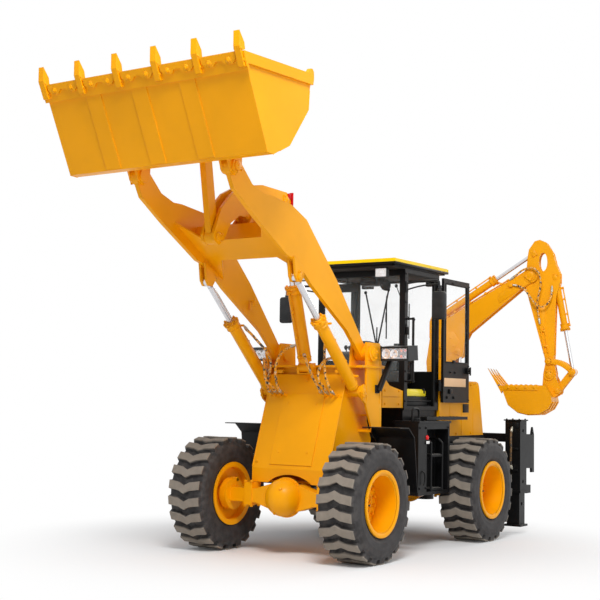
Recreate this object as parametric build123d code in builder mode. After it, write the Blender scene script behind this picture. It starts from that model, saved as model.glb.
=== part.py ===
from math import copysign, cos, hypot, pi, radians, sin
import os

from build123d import *

# Backhoe loader, millimetres, +X forward to the loader bucket, +Y the machine's left, +Z up.
# It is drawn about the ground point below the front axle and moved at the end, so that the
# origin lies on the ground below the middle of the whole machine.

# Running gear
WHEELBASE = 2346.0
TRACK = 1649.0
TYRE_RADIUS = 537.5
TYRE_WIDTH = 373.0
TYRE_SECTION = 410.0
CARCASS_RADIUS = 492.0
LUG_COUNT = 22
RIM_RADIUS = 262.0
RIM_LIP = 300.0
RIM_WALL = 10.0
DISC_INSET = 84.0
DISC_THICKNESS = 14.0
HUB_RADIUS = 110.0
HUB_GAP = 0.5

AXLE_HALF_HEIGHT = 65.0
AXLE_DEPTH = 130.0
BALL_RADIUS = 175.0
BALL_OFFSET = 70.0
PAD_Y = 410.0
PAD_TOP = 660.0
DRUM_RADIUS = 150.0

RUNNING = 0.05

# Frames
HINGE_X = -WHEELBASE / 2
HINGE_RADIUS = 100.0
EAR_THICKNESS = 30.0
EAR_LEVELS = (600.0, 1040.0)
FIT = 0.5
FRAME_PLATE = 20.0
TOWER_INNER_Y = 410.0
TOWER_OUTER_Y = 570.0
TOWER_OUTER_EDGE = TOWER_OUTER_Y + FRAME_PLATE / 2
TOWER_TOP = 2000.0
FLANGE_Z = 1780.0
REAR_RAIL_Y = 330.0
REAR_RAIL_Z = (640.0, 1060.0)
REAR_FRAME_END = -3180.0
ENGINE_Z = (800.0, 1500.0)

# Loader
ARM_Y = 490.0
ARM_THICKNESS = 40.0
LOADER_PIN_RADIUS = 35.0
TILT_PIN_RADIUS = 25.0
ARM_PIVOT = (-520.0, 1900.0)
BUCKET_PIN = (1655.0, 3335.0)
LIFT_PIN = (670.0, 2520.0)
LIFT_BASE = (-380.0, 1530.0)
LIFT_BOSS = 110.0
ROCKER_PIN = (720.0, 3050.0)
ROCKER_LOW = (1250.0, 2830.0)
ROCKER_HIGH = (220.0, 3300.0)
LINK_PIN = (1385.0, 3600.0)
TILT_BASE = (-270.0, 1752.0)
BUCKET_WIDTH = 2123.0
BUCKET_WALL = 16.0
TOOTH_COUNT = 6
TOOTH_WIDTH = 56.0
LIP_PLATE = 20.0
LIP_BAND = 140.0
EDGE_SEGMENT = 330.0
SIDE_STRIP = 20.0
WEAR_PLATES = (-530.0, -40.0, 455.0)

# Cab
CAB_FRONT = -1290.0
CAB_REAR = -2050.0
CAB_HALF = 518.0
CAB_FLOOR = 1360.0
CAB_TOP = 2800.0
CAB_POST = 60.0
COWL_HALF = 505.0
ROOF = (-1000.0, -2180.0)
ROOF_HALF = 560.0
ROOF_THICKNESS = 50.0
DOOR_HINGE = (-2000.0, 553.0)
DOOR_WIDTH = 625.0
DOOR_THICKNESS = 28.0
DOOR_Z = (1441.0, 2760.0)
DOOR_HINGE_LEVELS = (1560.0, 2560.0)
HOOD_REAR = -3070.0
HOOD_HALF = 530.0
HOOD_Z = (1085.0, 1680.0)

# Slide frame, stabilisers and backhoe
SLIDE_X = -3480.0
SLIDE_HALF = 950.0
LEG_X = -3310.0
LEG_TUBE = 180.0
LEG_TOP = 1250.0
LEG_COLLAR = 450.0
LEG_FOOT = 80.0
LOCK_LEVELS = (1140.0, 575.0)
LOCK_RADIUS = 20.0
TIE_DOWN_RADIUS = 18.0
SWING_X = -3720.0
SWING_Y = -500.0
SWING_ANGLE = 78.0
POST_RADIUS = 80.0
BOOM_FOOT = (220.0, 950.0)
STICK_PIN = (1296.0, 2962.0)
HOE_PIN = (1517.0, 1780.0)
BOOM_BASE = (400.0, 560.0)
BOOM_EYE = (420.0, 2060.0)
STICK_BASE = (130.0, 2440.0)
STICK_EYE = (1325.0, 3230.0)
CURL_BASE = (1580.0, 2930.0)
CURL_EYE = (1777.0, 1823.0)
LEVER_PIN = (1502.0, 1945.0)
HOE_LINK_PIN = (1604.0, 1599.0)
BOOM_HALF = 85.0
STICK_HALF = 65.0
HOE_WIDTH = 500.0
HOE_EAR_Y = 96.0
HOE_PIN_RADIUS = 36.0
BUCKET_PIN_RADIUS = 28.0
LEVER_PIN_RADIUS = 24.0


MACHINE = Plane.XY
BACK = radians(180 - SWING_ANGLE)
HOE = Plane(origin=(SWING_X, SWING_Y, 0), x_dir=(cos(BACK), sin(BACK), 0), z_dir=(0, 0, 1))


def side(y=0.0, frame=MACHINE):
    """Plane of a side profile: local x along the frame, local y up."""
    origin = frame.from_local_coords(Vector(0, y, 0))
    return Plane(origin=origin, x_dir=frame.x_dir, z_dir=-frame.y_dir)


def plate(points, y, thickness, frame=MACHINE, mode=Mode.ADD):
    """A side profile of straight edges, thickened evenly about the plane at y."""
    with BuildSketch(side(y, frame)) as outline:
        with BuildLine():
            Polyline(*points, close=True)
        make_face()
    extrude(outline.sketch, amount=thickness / 2, both=True, mode=mode)


def disc(pin, radius, y, thickness, frame=MACHINE, mode=Mode.ADD):
    """A round boss, pin or hole along the frame's y, centred at y."""
    with BuildSketch(side(y, frame)) as outline:
        with Locations(pin):
            Circle(radius)
    extrude(outline.sketch, amount=thickness / 2, both=True, mode=mode)


def block(x, y, z, mode=Mode.ADD):
    """A box between the pairs of limits x, y and z."""
    size = [abs(pair[1] - pair[0]) for pair in (x, y, z)]
    with Locations((min(x), min(y), min(z))):
        Box(*size, align=(Align.MIN, Align.MIN, Align.MIN), mode=mode)


def bar(start, end, radius, frame=MACHINE, mode=Mode.ADD):
    """A round bar between two points of the frame."""
    first = frame.from_local_coords(Vector(*start))
    last = frame.from_local_coords(Vector(*end))
    with BuildSketch(Plane(origin=first, z_dir=last - first)) as outline:
        Circle(radius)
    extrude(outline.sketch, amount=(last - first).length, mode=mode)


def level(points, z, thickness, mode=Mode.ADD):
    """A horizontal plate of straight edges on the level z."""
    with BuildSketch(Plane.XY.offset(z)) as outline:
        with BuildLine():
            Polyline(*points, close=True)
        make_face()
    extrude(outline.sketch, amount=thickness, mode=mode)


def round_plate(x, y, radius, z, thickness, mode=Mode.ADD):
    """A horizontal disc on the level z."""
    with BuildSketch(Plane.XY.offset(z)) as outline:
        with Locations((x, y)):
            Circle(radius)
    extrude(outline.sketch, amount=thickness, mode=mode)


def along(start, end, distance, across=0.0):
    """The point of a side profile at a distance from start towards end, shifted across."""
    length = hypot(end[0] - start[0], end[1] - start[1])
    ux, uz = (end[0] - start[0]) / length, (end[1] - start[1]) / length
    return (start[0] + ux * distance - uz * across, start[1] + uz * distance + ux * across)


def gap(start, end):
    """Distance between two pins of a side profile."""
    return hypot(end[0] - start[0], end[1] - start[1])


def strut(start, end, width, y, thickness, frame=MACHINE, mode=Mode.ADD):
    """A flat bar with round ends between two pins."""
    half = width / 2
    length = gap(start, end)
    corners = [along(start, end, 0, half), along(start, end, length, half),
               along(start, end, length, -half), along(start, end, 0, -half)]
    plate(corners, y, thickness, frame, mode)
    disc(start, half, y, thickness, frame, mode)
    disc(end, half, y, thickness, frame, mode)


pieces = {}

# Wheels: a carcass of straight facets with chevron lugs, on a deep dished rim

LUG_PITCH = 2 * pi * TYRE_RADIUS / LUG_COUNT
LUG_LENGTH = 0.66 * LUG_PITCH
LUG_SWEEP = 46.0
LUG_TIP = (TYRE_RADIUS**2 - (LUG_LENGTH / 2) ** 2) ** 0.5
LUG_ROOT = 440.0
SHOULDER_TAPER = 7.0


def carcass_profile():
    """Half section of the carcass as radius and offset pairs, mirrored by the caller."""
    half = TYRE_SECTION / 2
    return [(RIM_RADIUS + FIT, half - 37), (RIM_LIP + 2, half - 33), (345, half - 8),
            (405, half), (458, half - 9), (CARCASS_RADIUS - 4, half - 24), (CARCASS_RADIUS, half - 60)]


def lug_outline():
    """Chevron bar seen from outside: offset across the tread, place along the rolling way."""
    half = TYRE_WIDTH / 2
    back = LUG_LENGTH / 2
    front = [(-half, back - LUG_SWEEP / 2), (-half / 3, back - 6), (0, back + LUG_SWEEP / 2),
             (half / 3, back - 6), (half, back - LUG_SWEEP / 2)]
    rear = [(x, y - LUG_LENGTH) for x, y in reversed(front)]
    return front + rear


def make_tyre():
    """One tyre about the origin with its axle along Y, standing on a lug."""
    with BuildPart() as lug:
        with BuildSketch(Plane(origin=(0, 0, -LUG_ROOT), x_dir=(0, 1, 0), z_dir=(0, 0, -1))) as print_shape:
            with BuildLine():
                Polyline(*lug_outline(), close=True)
            make_face()
        extrude(print_shape.sketch, amount=LUG_TIP - LUG_ROOT, taper=SHOULDER_TAPER)
    with BuildPart() as tyre:
        half = carcass_profile()
        with BuildSketch(Plane.XY) as section:
            with BuildLine():
                Polyline(*half, *[(r, -y) for r, y in reversed(half)], close=True)
            make_face()
        revolve(section.sketch, axis=Axis.Y)
        for number in range(LUG_COUNT):
            add(lug.part.rotate(Axis.Y, 360 * number / LUG_COUNT))
    return tyre.part


def make_rim():
    """One rim about the origin, its outside towards +Y."""
    outer = TYRE_SECTION / 2 - 17
    seat = outer - 18
    inner = RIM_RADIUS - RIM_WALL
    with BuildPart() as rim:
        with BuildSketch(Plane.XY) as section:
            with BuildLine():
                Polyline((RIM_RADIUS, seat), (RIM_LIP, seat + 8), (RIM_LIP, outer), (inner, outer - 6),
                         (inner - 14, 0), (inner, 6 - outer), (RIM_LIP, -outer), (RIM_LIP, -seat - 8),
                         (RIM_RADIUS, -seat), close=True)
            make_face()
            with BuildLine():
                Polyline((0, -DISC_INSET), (0, 30 - DISC_INSET), (HUB_RADIUS * 0.8, 30 - DISC_INSET),
                         (HUB_RADIUS, DISC_THICKNESS - DISC_INSET), (inner, DISC_THICKNESS - DISC_INSET - 34),
                         (inner, -DISC_INSET - 34), (HUB_RADIUS, -DISC_INSET), close=True)
            make_face()
        revolve(section.sketch, axis=Axis.Y)
    return rim.part


tyre_shape = make_tyre()
rim_shape = make_rim()
corners = {"front_left": (0.0, 1), "front_right": (0.0, -1),
           "rear_left": (-WHEELBASE, 1), "rear_right": (-WHEELBASE, -1)}
for corner, (x, hand) in corners.items():
    place = Location((x, hand * TRACK / 2, TYRE_RADIUS), (0, 0, 0 if hand > 0 else 180))
    pieces["tyre_" + corner] = tyre_shape.moved(place)
    pieces["rim_" + corner] = rim_shape.moved(place)


# Axles: a beam with a round differential, spring pads and brake drums

HUB_END = TRACK / 2 - DISC_INSET - HUB_GAP


def make_axle():
    """A whole axle below the origin, its differential bulging to +X."""
    x = 0.0
    wide, narrow = 120.0, AXLE_HALF_HEIGHT
    with BuildPart() as axle:
        outline = [(-HUB_END + 90, -narrow), (-330, -narrow), (-150, -wide), (150, -wide), (330, -narrow),
                   (HUB_END - 90, -narrow), (HUB_END - 90, narrow), (330, narrow), (150, wide),
                   (-150, wide), (-330, narrow), (-HUB_END + 90, narrow)]
        front = Plane(origin=(x, 0, TYRE_RADIUS), x_dir=(0, 1, 0), z_dir=(1, 0, 0))
        with BuildSketch(front) as beam:
            with BuildLine():
                Polyline(*outline, close=True)
            make_face()
        extrude(beam.sketch, amount=AXLE_DEPTH / 2, both=True)
        with Locations((x + BALL_OFFSET, 0, TYRE_RADIUS)):
            Sphere(BALL_RADIUS)
        bar((x, 0, TYRE_RADIUS), (x - 300, 0, TYRE_RADIUS + 30), 85)
        for hand in (1, -1):
            block((x - 75, x + 75), (hand * (PAD_Y - 45), hand * (PAD_Y + 45)),
                  (TYRE_RADIUS - 90, PAD_TOP))
            bar((x, hand * (HUB_END - 120), TYRE_RADIUS), (x, hand * (HUB_END - 50), TYRE_RADIUS),
                DRUM_RADIUS)
            bar((x, hand * (HUB_END - 60), TYRE_RADIUS), (x, hand * HUB_END, TYRE_RADIUS),
                HUB_RADIUS - 10)
    return axle.part


axle_shape = make_axle()
SHAFT_Z = 540.0
SHAFT_RADIUS = 32.0
YOKE_BALL = 42.0
with BuildPart() as front_axle:
    add(axle_shape)
    bar((-290, 0, TYRE_RADIUS + 20), (-330, 0, SHAFT_Z + 15), 62)
    bar((-320, 0, SHAFT_Z + 15), (HINGE_X + 75, 0, SHAFT_Z), SHAFT_RADIUS)
    bar((HINGE_X + 95, 0, SHAFT_Z), (HINGE_X + 52, 0, SHAFT_Z), 45)
pieces["front_axle"] = front_axle.part
pieces["rear_axle"] = axle_shape.moved(Location((-WHEELBASE, 0, 0), (0, 0, 180)))


# Front frame: side plates that rise into two towers, cross plates and the hinge ears

SIDE_OUTLINE = [(-680, 2000), (-430, 2000), (-400, 1790), (-330, 1700), (-30, 800), (-30, PAD_TOP + FIT), (-90, PAD_TOP + FIT),
                (-750, PAD_TOP - 20), (-800, 1080), (-720, 1250)]
TOWER_OUTLINE = [(-680, 2000), (-430, 2000), (-430, 1400), (-560, 1150), (-720, 1150), (-720, 1780)]

with BuildPart() as front_frame:
    for hand in (1, -1):
        plate(SIDE_OUTLINE, hand * TOWER_INNER_Y, FRAME_PLATE)
        plate(TOWER_OUTLINE, hand * TOWER_OUTER_Y, FRAME_PLATE)
        low, high = sorted((hand * (TOWER_INNER_Y - 10), hand * (TOWER_OUTER_Y + 10)))
        block((-720, -560), (low, high), (1150, 1175))
        block((-700, -600), (low, high), (1300, 1320))
        disc(ARM_PIVOT, LOADER_PIN_RADIUS, hand * ARM_Y, TOWER_OUTER_Y - TOWER_INNER_Y)
        disc(ARM_PIVOT, 75, hand * (TOWER_OUTER_Y + 20), 30)
        disc(ARM_PIVOT, 75, hand * (TOWER_INNER_Y - 18), 30)
        for y in (TOWER_INNER_Y + 10, TOWER_OUTER_Y - 10):
            inner_face = ARM_Y + copysign(LIFT_BOSS / 2 + FIT, y - ARM_Y)
            disc(LIFT_BASE, 60, hand * (y + inner_face) / 2, abs(y - inner_face))
        plate([(-430, 1600), (-380, 1600), (-330, 1530), (-370, 1450), (-450, 1400)],
              hand * TOWER_OUTER_Y, FRAME_PLATE)
    block((-860, -330), (-TOWER_OUTER_Y - 20, TOWER_OUTER_Y + 20), (FLANGE_Z - 22, FLANGE_Z))
    block((-400, -375), (-TOWER_INNER_Y, TOWER_INNER_Y), (1300, FLANGE_Z - 10))
    block((-770, -745), (-TOWER_INNER_Y, TOWER_INNER_Y), (PAD_TOP - 5, 1060))
    block((-745, -125), (-TOWER_INNER_Y, TOWER_INNER_Y), (PAD_TOP, PAD_TOP + 20))
    for z in EAR_LEVELS:
        level([(-740, -230), (-740, 230), (HINGE_X, HINGE_RADIUS), (HINGE_X, -HINGE_RADIUS)],
              z, EAR_THICKNESS)
        round_plate(HINGE_X, 0, HINGE_RADIUS, z, EAR_THICKNESS)
    for hand in (1, -1):
        plate([(-350, 1692), (-225, 1692), (-222, 1752), (-245, 1795), (-325, 1800)], hand * 62, 22)
    block((-350, -225), (-75, 75), (1692, 1701))
    disc(TILT_BASE, TILT_PIN_RADIUS, 0, 146)
    for hand in (1, -1):
        block((-490, -320), (hand * (ARM_Y - 35), hand * (ARM_Y + 35)), (FLANGE_Z - 30, FLANGE_Z + 10), mode=Mode.SUBTRACT)
    for z in EAR_LEVELS:
        round_plate(HINGE_X, 0, 45, z - 2, EAR_THICKNESS * 2 + 6, mode=Mode.SUBTRACT)
pieces["front_frame"] = front_frame.part

# Front cover: one bent sheet from the flange down over the axle
COVER_HALF = 430.0
COVER_SHEET = 8.0
with BuildPart() as front_cover:
    plate([(-318, 1690), (-18, 795), (-18, PAD_TOP + 2), (-26, PAD_TOP + 2), (-26, 795), (-326, 1690)], 0, 2 * COVER_HALF)
    plate([(-258, 1500), (-34, 830), (-22, 834), (-246, 1504)], 0, 470)
    with BuildSketch(Plane.YZ.offset(-60)) as arch:
        with Locations((0, TYRE_RADIUS - 40)):
            Ellipse(330, 245)
    extrude(arch.sketch, amount=100, mode=Mode.SUBTRACT)
pieces["front_cover"] = front_cover.part

FENDER_TOP = [(-330, 1205), (-500, 1205), (-618, 1112), (-688, 600)]
FENDER_UNDER = [(-680, 599), (-610, 1107), (-497, 1196), (-330, 1196)]
with BuildPart() as front_fenders:
    for hand in (1, -1):
        plate(FENDER_TOP + FENDER_UNDER, hand * 800, 400)
        plate([(-500, 1196), (-618, 1104), (-684, 600), (-640, 640), (-590, 1060), (-490, 1150)], hand * 604, 8)
        block((-640, -585), (hand * 606, hand * TOWER_OUTER_EDGE), (1100, 1170))
pieces["front_fenders"] = front_fenders.part

LAMP_SHELL = [(-785, 1840), (-590, 1828), (-575, 1962), (-770, 1982)]
LAMP_RECESS = [(-600, 1842), (-560, 1842), (-560, 1952), (-588, 1952)]
with BuildPart() as headlamps:
    for hand in (1, -1):
        plate(LAMP_SHELL, hand * 790, 300)
        plate(LAMP_RECESS, hand * 790, 276, mode=Mode.SUBTRACT)
        bar((-700, hand * 690, 1845), (-630, hand * 608, 1545), 22)
        block((-660, -590), (hand * TOWER_OUTER_EDGE, hand * (TOWER_OUTER_EDGE + 12)), (1520, 1600))
        block((-645, -615), (hand * TOWER_OUTER_EDGE, hand * (TOWER_OUTER_EDGE + 45)), (1545, 1575))
pieces["headlamps"] = headlamps.part

# Rear frame
with BuildPart() as rear_frame:
    low, high = REAR_RAIL_Z
    for hand in (1, -1):
        plate([(-1290, low), (REAR_FRAME_END, low), (REAR_FRAME_END, high), (-1290, high)],
              hand * REAR_RAIL_Y, 24)
    block((-1290, -1310), (-REAR_RAIL_Y, REAR_RAIL_Y), (600, 1100))
    block((REAR_FRAME_END, REAR_FRAME_END + 25), (-REAR_RAIL_Y - 90, REAR_RAIL_Y + 90), (500, HOOD_Z[0]))
    block((-2100, -2180), (-REAR_RAIL_Y, REAR_RAIL_Y), (high - 60, high))
    block((-2400, -2460), (-REAR_RAIL_Y, REAR_RAIL_Y), (ENGINE_Z[0] - 60, ENGINE_Z[0]))
    block((-2800, -2860), (-REAR_RAIL_Y, REAR_RAIL_Y), (ENGINE_Z[0] - 60, ENGINE_Z[0]))
    for hand in (1, -1):
        block((-WHEELBASE - 75, -WHEELBASE + 75), (hand * REAR_RAIL_Y, hand * (PAD_Y + 45)), (PAD_TOP, PAD_TOP + 60))
        block((CAB_REAR - 10, REAR_FRAME_END), (hand * 480, hand * HOOD_HALF), (high - 35, HOOD_Z[0]))
        for x in (-2080, -2700, REAR_FRAME_END + 25):
            block((x - 25, x + 25), (hand * REAR_RAIL_Y, hand * 500), (high - 60, HOOD_Z[0] - 20))
    for z in EAR_LEVELS:
        base = z + EAR_THICKNESS + FIT
        level([(-1292, -200), (-1292, 200), (HINGE_X, HINGE_RADIUS), (HINGE_X, -HINGE_RADIUS)],
              base, EAR_THICKNESS)
        round_plate(HINGE_X, 0, HINGE_RADIUS, base, EAR_THICKNESS)
        round_plate(HINGE_X, 0, 44.5, z - 10, EAR_THICKNESS * 2 + 20)
    block((-1300, CAB_REAR), (-CAB_HALF + 20, CAB_HALF - 20), (high, CAB_FLOOR))
    block((-1320, CAB_REAR + 20), (-CAB_HALF + 40, CAB_HALF - 40), (high - 10, CAB_FLOOR - 20), mode=Mode.SUBTRACT)
    for hand in (1, -1):
        block((-1500, -2450), (hand * HOOD_HALF, hand * 670), (1262, 1294))
        block((-1520, -2040), (hand * (CAB_HALF - 20), hand * (HOOD_HALF + 1)), (1262, 1294))
pieces["rear_frame"] = rear_frame.part

with BuildPart() as driveline:
    block((-1560, -1900), (-170, 170), (470, 800))
    block((-1640, -1800), (-REAR_RAIL_Y + 12, REAR_RAIL_Y - 12), (700, 780))
    bar((-1540, 0, SHAFT_Z), (-1565, 0, SHAFT_Z), 80)
    bar((HINGE_X - 48, 0, SHAFT_Z), (-1560, 0, SHAFT_Z), SHAFT_RADIUS)
    with Locations((HINGE_X, 0, SHAFT_Z)):
        Sphere(YOKE_BALL)
    bar((HINGE_X - 30, 0, SHAFT_Z), (HINGE_X - 50, 0, SHAFT_Z), 30)
    bar((-1890, 0, SHAFT_Z + 10), (-WHEELBASE + 312, 0, TYRE_RADIUS + 18), SHAFT_RADIUS)
pieces["driveline"] = driveline.part

with BuildPart() as engine_block:
    block((-2300, -2950), (-290, 290), ENGINE_Z)
pieces["engine_block"] = engine_block.part

HOOD_OUTLINE = [(CAB_REAR - 6, HOOD_Z[0]), (CAB_REAR - 6, HOOD_Z[1]), (-2960, HOOD_Z[1]),
                (-3012, HOOD_Z[1] - 14), (-3040, HOOD_Z[1] - 60), (-3150, HOOD_Z[0])]
HOOD_INSIDE = [(CAB_REAR - 26, HOOD_Z[0] - 5), (CAB_REAR - 26, HOOD_Z[1] - 20), (-2950, HOOD_Z[1] - 20),
               (-3000, HOOD_Z[1] - 34), (-3020, HOOD_Z[1] - 70), (-3126, HOOD_Z[0] - 5)]
with BuildPart() as engine_hood:
    plate(HOOD_OUTLINE, 0, 2 * HOOD_HALF)
    plate(HOOD_INSIDE, 0, 2 * HOOD_HALF - 40, mode=Mode.SUBTRACT)
pieces["engine_hood"] = engine_hood.part

# Cab
with BuildPart() as cab_frame:
    block((CAB_FRONT, CAB_REAR), (-CAB_HALF, CAB_HALF), (CAB_FLOOR, CAB_TOP))
    wall = 40.0
    block((CAB_FRONT - wall, CAB_REAR + wall), (-CAB_HALF + wall, CAB_HALF - wall),
          (CAB_FLOOR + wall, CAB_TOP - wall), mode=Mode.SUBTRACT)
    block((CAB_FRONT + 10, CAB_FRONT - wall - 10), (-CAB_HALF + CAB_POST, CAB_HALF - CAB_POST),
          (1640, CAB_TOP - 70), mode=Mode.SUBTRACT)
    block((CAB_REAR - 10, CAB_REAR + wall + 10), (-CAB_HALF + CAB_POST, CAB_HALF - CAB_POST),
          (1760, CAB_TOP - 70), mode=Mode.SUBTRACT)
    block((CAB_FRONT - CAB_POST, CAB_REAR + 90), (CAB_HALF + 10, CAB_HALF - wall - 10),
          (CAB_FLOOR + wall, CAB_TOP - 50), mode=Mode.SUBTRACT)
    block((CAB_FRONT - CAB_POST, CAB_REAR + 90), (-CAB_HALF - 10, -CAB_HALF + wall + 10),
          (1860, CAB_TOP - 70), mode=Mode.SUBTRACT)
    for z in (1650, 2280):
        bar((-1318, CAB_HALF - 5, z), (-1318, CAB_HALF + 85, z), 11)
    bar((-1318, CAB_HALF + 82, 1637), (-1318, CAB_HALF + 82, 2293), 13)
    for z in DOOR_HINGE_LEVELS:
        round_plate(*DOOR_HINGE, 16, z + 90 + FIT, 30)
        block((DOOR_HINGE[0] - 12, DOOR_HINGE[0] + 12), (CAB_HALF - 5, DOOR_HINGE[1]), (z + 90 + FIT, z + 120))
pieces["cab_frame"] = cab_frame.part

with BuildPart() as cab_glass:
    block((CAB_FRONT - 15, CAB_FRONT - 20), (-CAB_HALF + CAB_POST, CAB_HALF - CAB_POST), (1640, CAB_TOP - 70))
    block((CAB_REAR + 15, CAB_REAR + 20), (-CAB_HALF + CAB_POST, CAB_HALF - CAB_POST), (1760, CAB_TOP - 70))
    block((CAB_FRONT - CAB_POST, CAB_REAR + 90), (-CAB_HALF + 15, -CAB_HALF + 20), (1860, CAB_TOP - 70))
pieces["cab_glass"] = cab_glass.part

with BuildPart() as cab_roof:
    block(ROOF, (-ROOF_HALF, ROOF_HALF), (CAB_TOP + 15, CAB_TOP + 15 + ROOF_THICKNESS))
    block((ROOF[0] - 30, ROOF[1] + 30), (-ROOF_HALF + 30, ROOF_HALF - 30), (CAB_TOP, CAB_TOP + 15))
pieces["cab_roof"] = cab_roof.part

with BuildPart() as cab_cowl:
    plate([(CAB_FRONT, 1382), (-870, 1382), (-870, 1640), (-930, 1660), (-1015, 1600), (CAB_FRONT, 1552)],
          0, 2 * COWL_HALF)
    plate([(-930, 1600), (-950, 1700), (-1020, 1715), (-1070, 1590)], 0, 2 * COWL_HALF - 130)
    for hand in (1, -1):
        block((-880, CAB_FRONT + 60), (hand * COWL_HALF, hand * (COWL_HALF - 6)), (1484, 1494), mode=Mode.SUBTRACT)
pieces["cab_cowl"] = cab_cowl.part

with BuildPart() as seat:
    block((-1640, -1960), (-230, 230), (1620, 1730))
    block((-1880, -1990), (-220, 220), (1730, 2180))
    block((-1720, -1900), (-120, 120), (CAB_FLOOR + 40, 1620))
pieces["seat"] = seat.part

with BuildPart() as steering_console:
    block((-1335, -1440), (-160, 160), (CAB_FLOOR + 40, 1800))
    bar((-1400, 0, 1780), (-1530, 0, 1942), 28)
    with Locations(Location((-1530, 0, 1940), (0, -38, 0))):
        Torus(185, 13)
        Cylinder(60, 24)
        Box(370, 26, 12)
        Box(26, 370, 12)
pieces["steering_console"] = steering_console.part

BOX_X = (-1090.0, -1775.0)
BOX_Y = (530.0, 790.0)
BOX_Z = (530.0, 1235.0)
RAIL_X = (-1390.0, -1635.0)
with BuildPart() as step_boxes:
    for hand in (1, -1):
        near, far = hand * BOX_Y[0], hand * BOX_Y[1]
        block(BOX_X, (near, far), BOX_Z)
        block((BOX_X[0] - 180, BOX_X[1] + 35), (hand * 640, far + hand), (BOX_Z[0] + 30, BOX_Z[1] - 60),
              mode=Mode.SUBTRACT)
        block((BOX_X[0] - 10, BOX_X[0] - 165), (near + hand * 15, far - hand * 12), (BOX_Z[0] - 1, BOX_Z[1] - 12),
              mode=Mode.SUBTRACT)
        block((BOX_X[0], -1790), (hand * (CAB_HALF - 20), hand * 800), (BOX_Z[1], BOX_Z[1] + 20))
        block((-1300, -1500), (hand * (REAR_RAIL_Y + 12), near), (700, 760))
        for x in RAIL_X:
            bar((x, far - hand * 14, BOX_Z[0] + 25), (x, far - hand * 14, 1040), 11)
            bar((x, far - hand * 14, 1034), (x + 30, far - hand * 40, 1075), 11)
            bar((x + 30, far - hand * 38, 1073), (x + 30, hand * 635, 1073), 11)
        for z in (565, 900):
            block((RAIL_X[0] + 12, RAIL_X[1] - 12), (hand * 639, far - hand * 8), (z, z + 22))
pieces["step_boxes"] = step_boxes.part

with BuildPart() as mirrors:
    for hand in (1, -1):
        bar((-1320, hand * (CAB_HALF + 4), 2620), (-1270, hand * 915, 2640), 12)
        block((-1340, -1300), (hand * CAB_HALF, hand * (CAB_HALF + 10)), (2600, 2640))
        bar((-1270, hand * 905, 2655), (-1270, hand * 905, 2500), 12)
        block((-1235, -1305), (hand * 840, hand * 990), (2250, 2550))
pieces["mirrors"] = mirrors.part

with BuildPart() as door_left:
    hx, hy = DOOR_HINGE
    block((hx - 35, hx - 35 - DOOR_WIDTH), (hy + 1, hy + 1 + DOOR_THICKNESS), DOOR_Z)
    block((hx - 85, hx + 15 - DOOR_WIDTH), (hy, hy + 40), (1870, DOOR_Z[1] - 50), mode=Mode.SUBTRACT)
    for z in DOOR_HINGE_LEVELS:
        round_plate(hx, hy, 16, z, 90)
        block((hx, hx - 60), (hy + 2, hy + 14), (z, z + 90))
pieces["door_left"] = door_left.part

with BuildPart() as door_glass:
    block((hx - 85, hx + 15 - DOOR_WIDTH), (hy + 12, hy + 17), (1870, DOOR_Z[1] - 50))
pieces["door_glass"] = door_glass.part

# Loader arms and crossbeam
ARM_OUTLINE = [(-590, 1900), (-560, 1960), (-490, 1985), (18, 2553), (541, 3042), (784, 3141),
               (1091, 3174), (1210, 3173), (1380, 3230), (1560, 3395), (1620, 3413), (1700, 3400),
               (1733, 3335), (1633, 3155), (1347, 2975), (847, 2694), (760, 2672), (580, 2574),
               (440, 2469), (-173, 2102), (-450, 1860), (-520, 1825)]
with BuildPart() as loader_arms:
    for hand in (1, -1):
        plate(ARM_OUTLINE, hand * ARM_Y, ARM_THICKNESS)
        disc(ARM_PIVOT, 70, hand * ARM_Y, TOWER_OUTER_Y - TOWER_INNER_Y - FRAME_PLATE - 10 - 2 * FIT)
        for offset in (-1, 1):
            plate([(600, 2530), (640, 2475), (700, 2475), (735, 2520), (760, 2690), (620, 2620)],
                  hand * ARM_Y + offset * (ARM_THICKNESS / 2 + 10), 20)
        disc(BUCKET_PIN, 78, hand * ARM_Y, 60)
    plate([(700, 2700), (950, 2850), (860, 3000), (610, 2850)], 0, 2 * ARM_Y - ARM_THICKNESS)
    for hand in (1, -1):
        plate([(620, 2850), (850, 2990), (790, 3060), (740, 3115), (680, 3105), (650, 3040)], hand * 85, 20)
    for base, end in (((950, 2850), (1200, 3000)), ((700, 2700), (450, 2550))):
        x_dir = Vector(end[0] - base[0], 0, end[1] - base[1]).normalized()
        for hand in (1, -1):
            gusset = Plane(origin=(base[0], hand * (ARM_Y - 15), base[1]), x_dir=x_dir, z_dir=Vector(0, 1, 0).cross(x_dir))
            with BuildSketch(gusset) as corner:
                with BuildLine():
                    Polyline((-40, 0), (gap(base, end), 0), (0, hand * 170), (-40, hand * 170), close=True)
                make_face()
            extrude(corner.sketch, amount=-copysign(16, x_dir.X))
    disc(ROCKER_PIN, LOADER_PIN_RADIUS, 0, 170)
    for pin in (ARM_PIVOT, BUCKET_PIN):
        disc(pin, LOADER_PIN_RADIUS + RUNNING, 0, 1400, mode=Mode.SUBTRACT)
pieces["loader_arms"] = loader_arms.part

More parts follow.
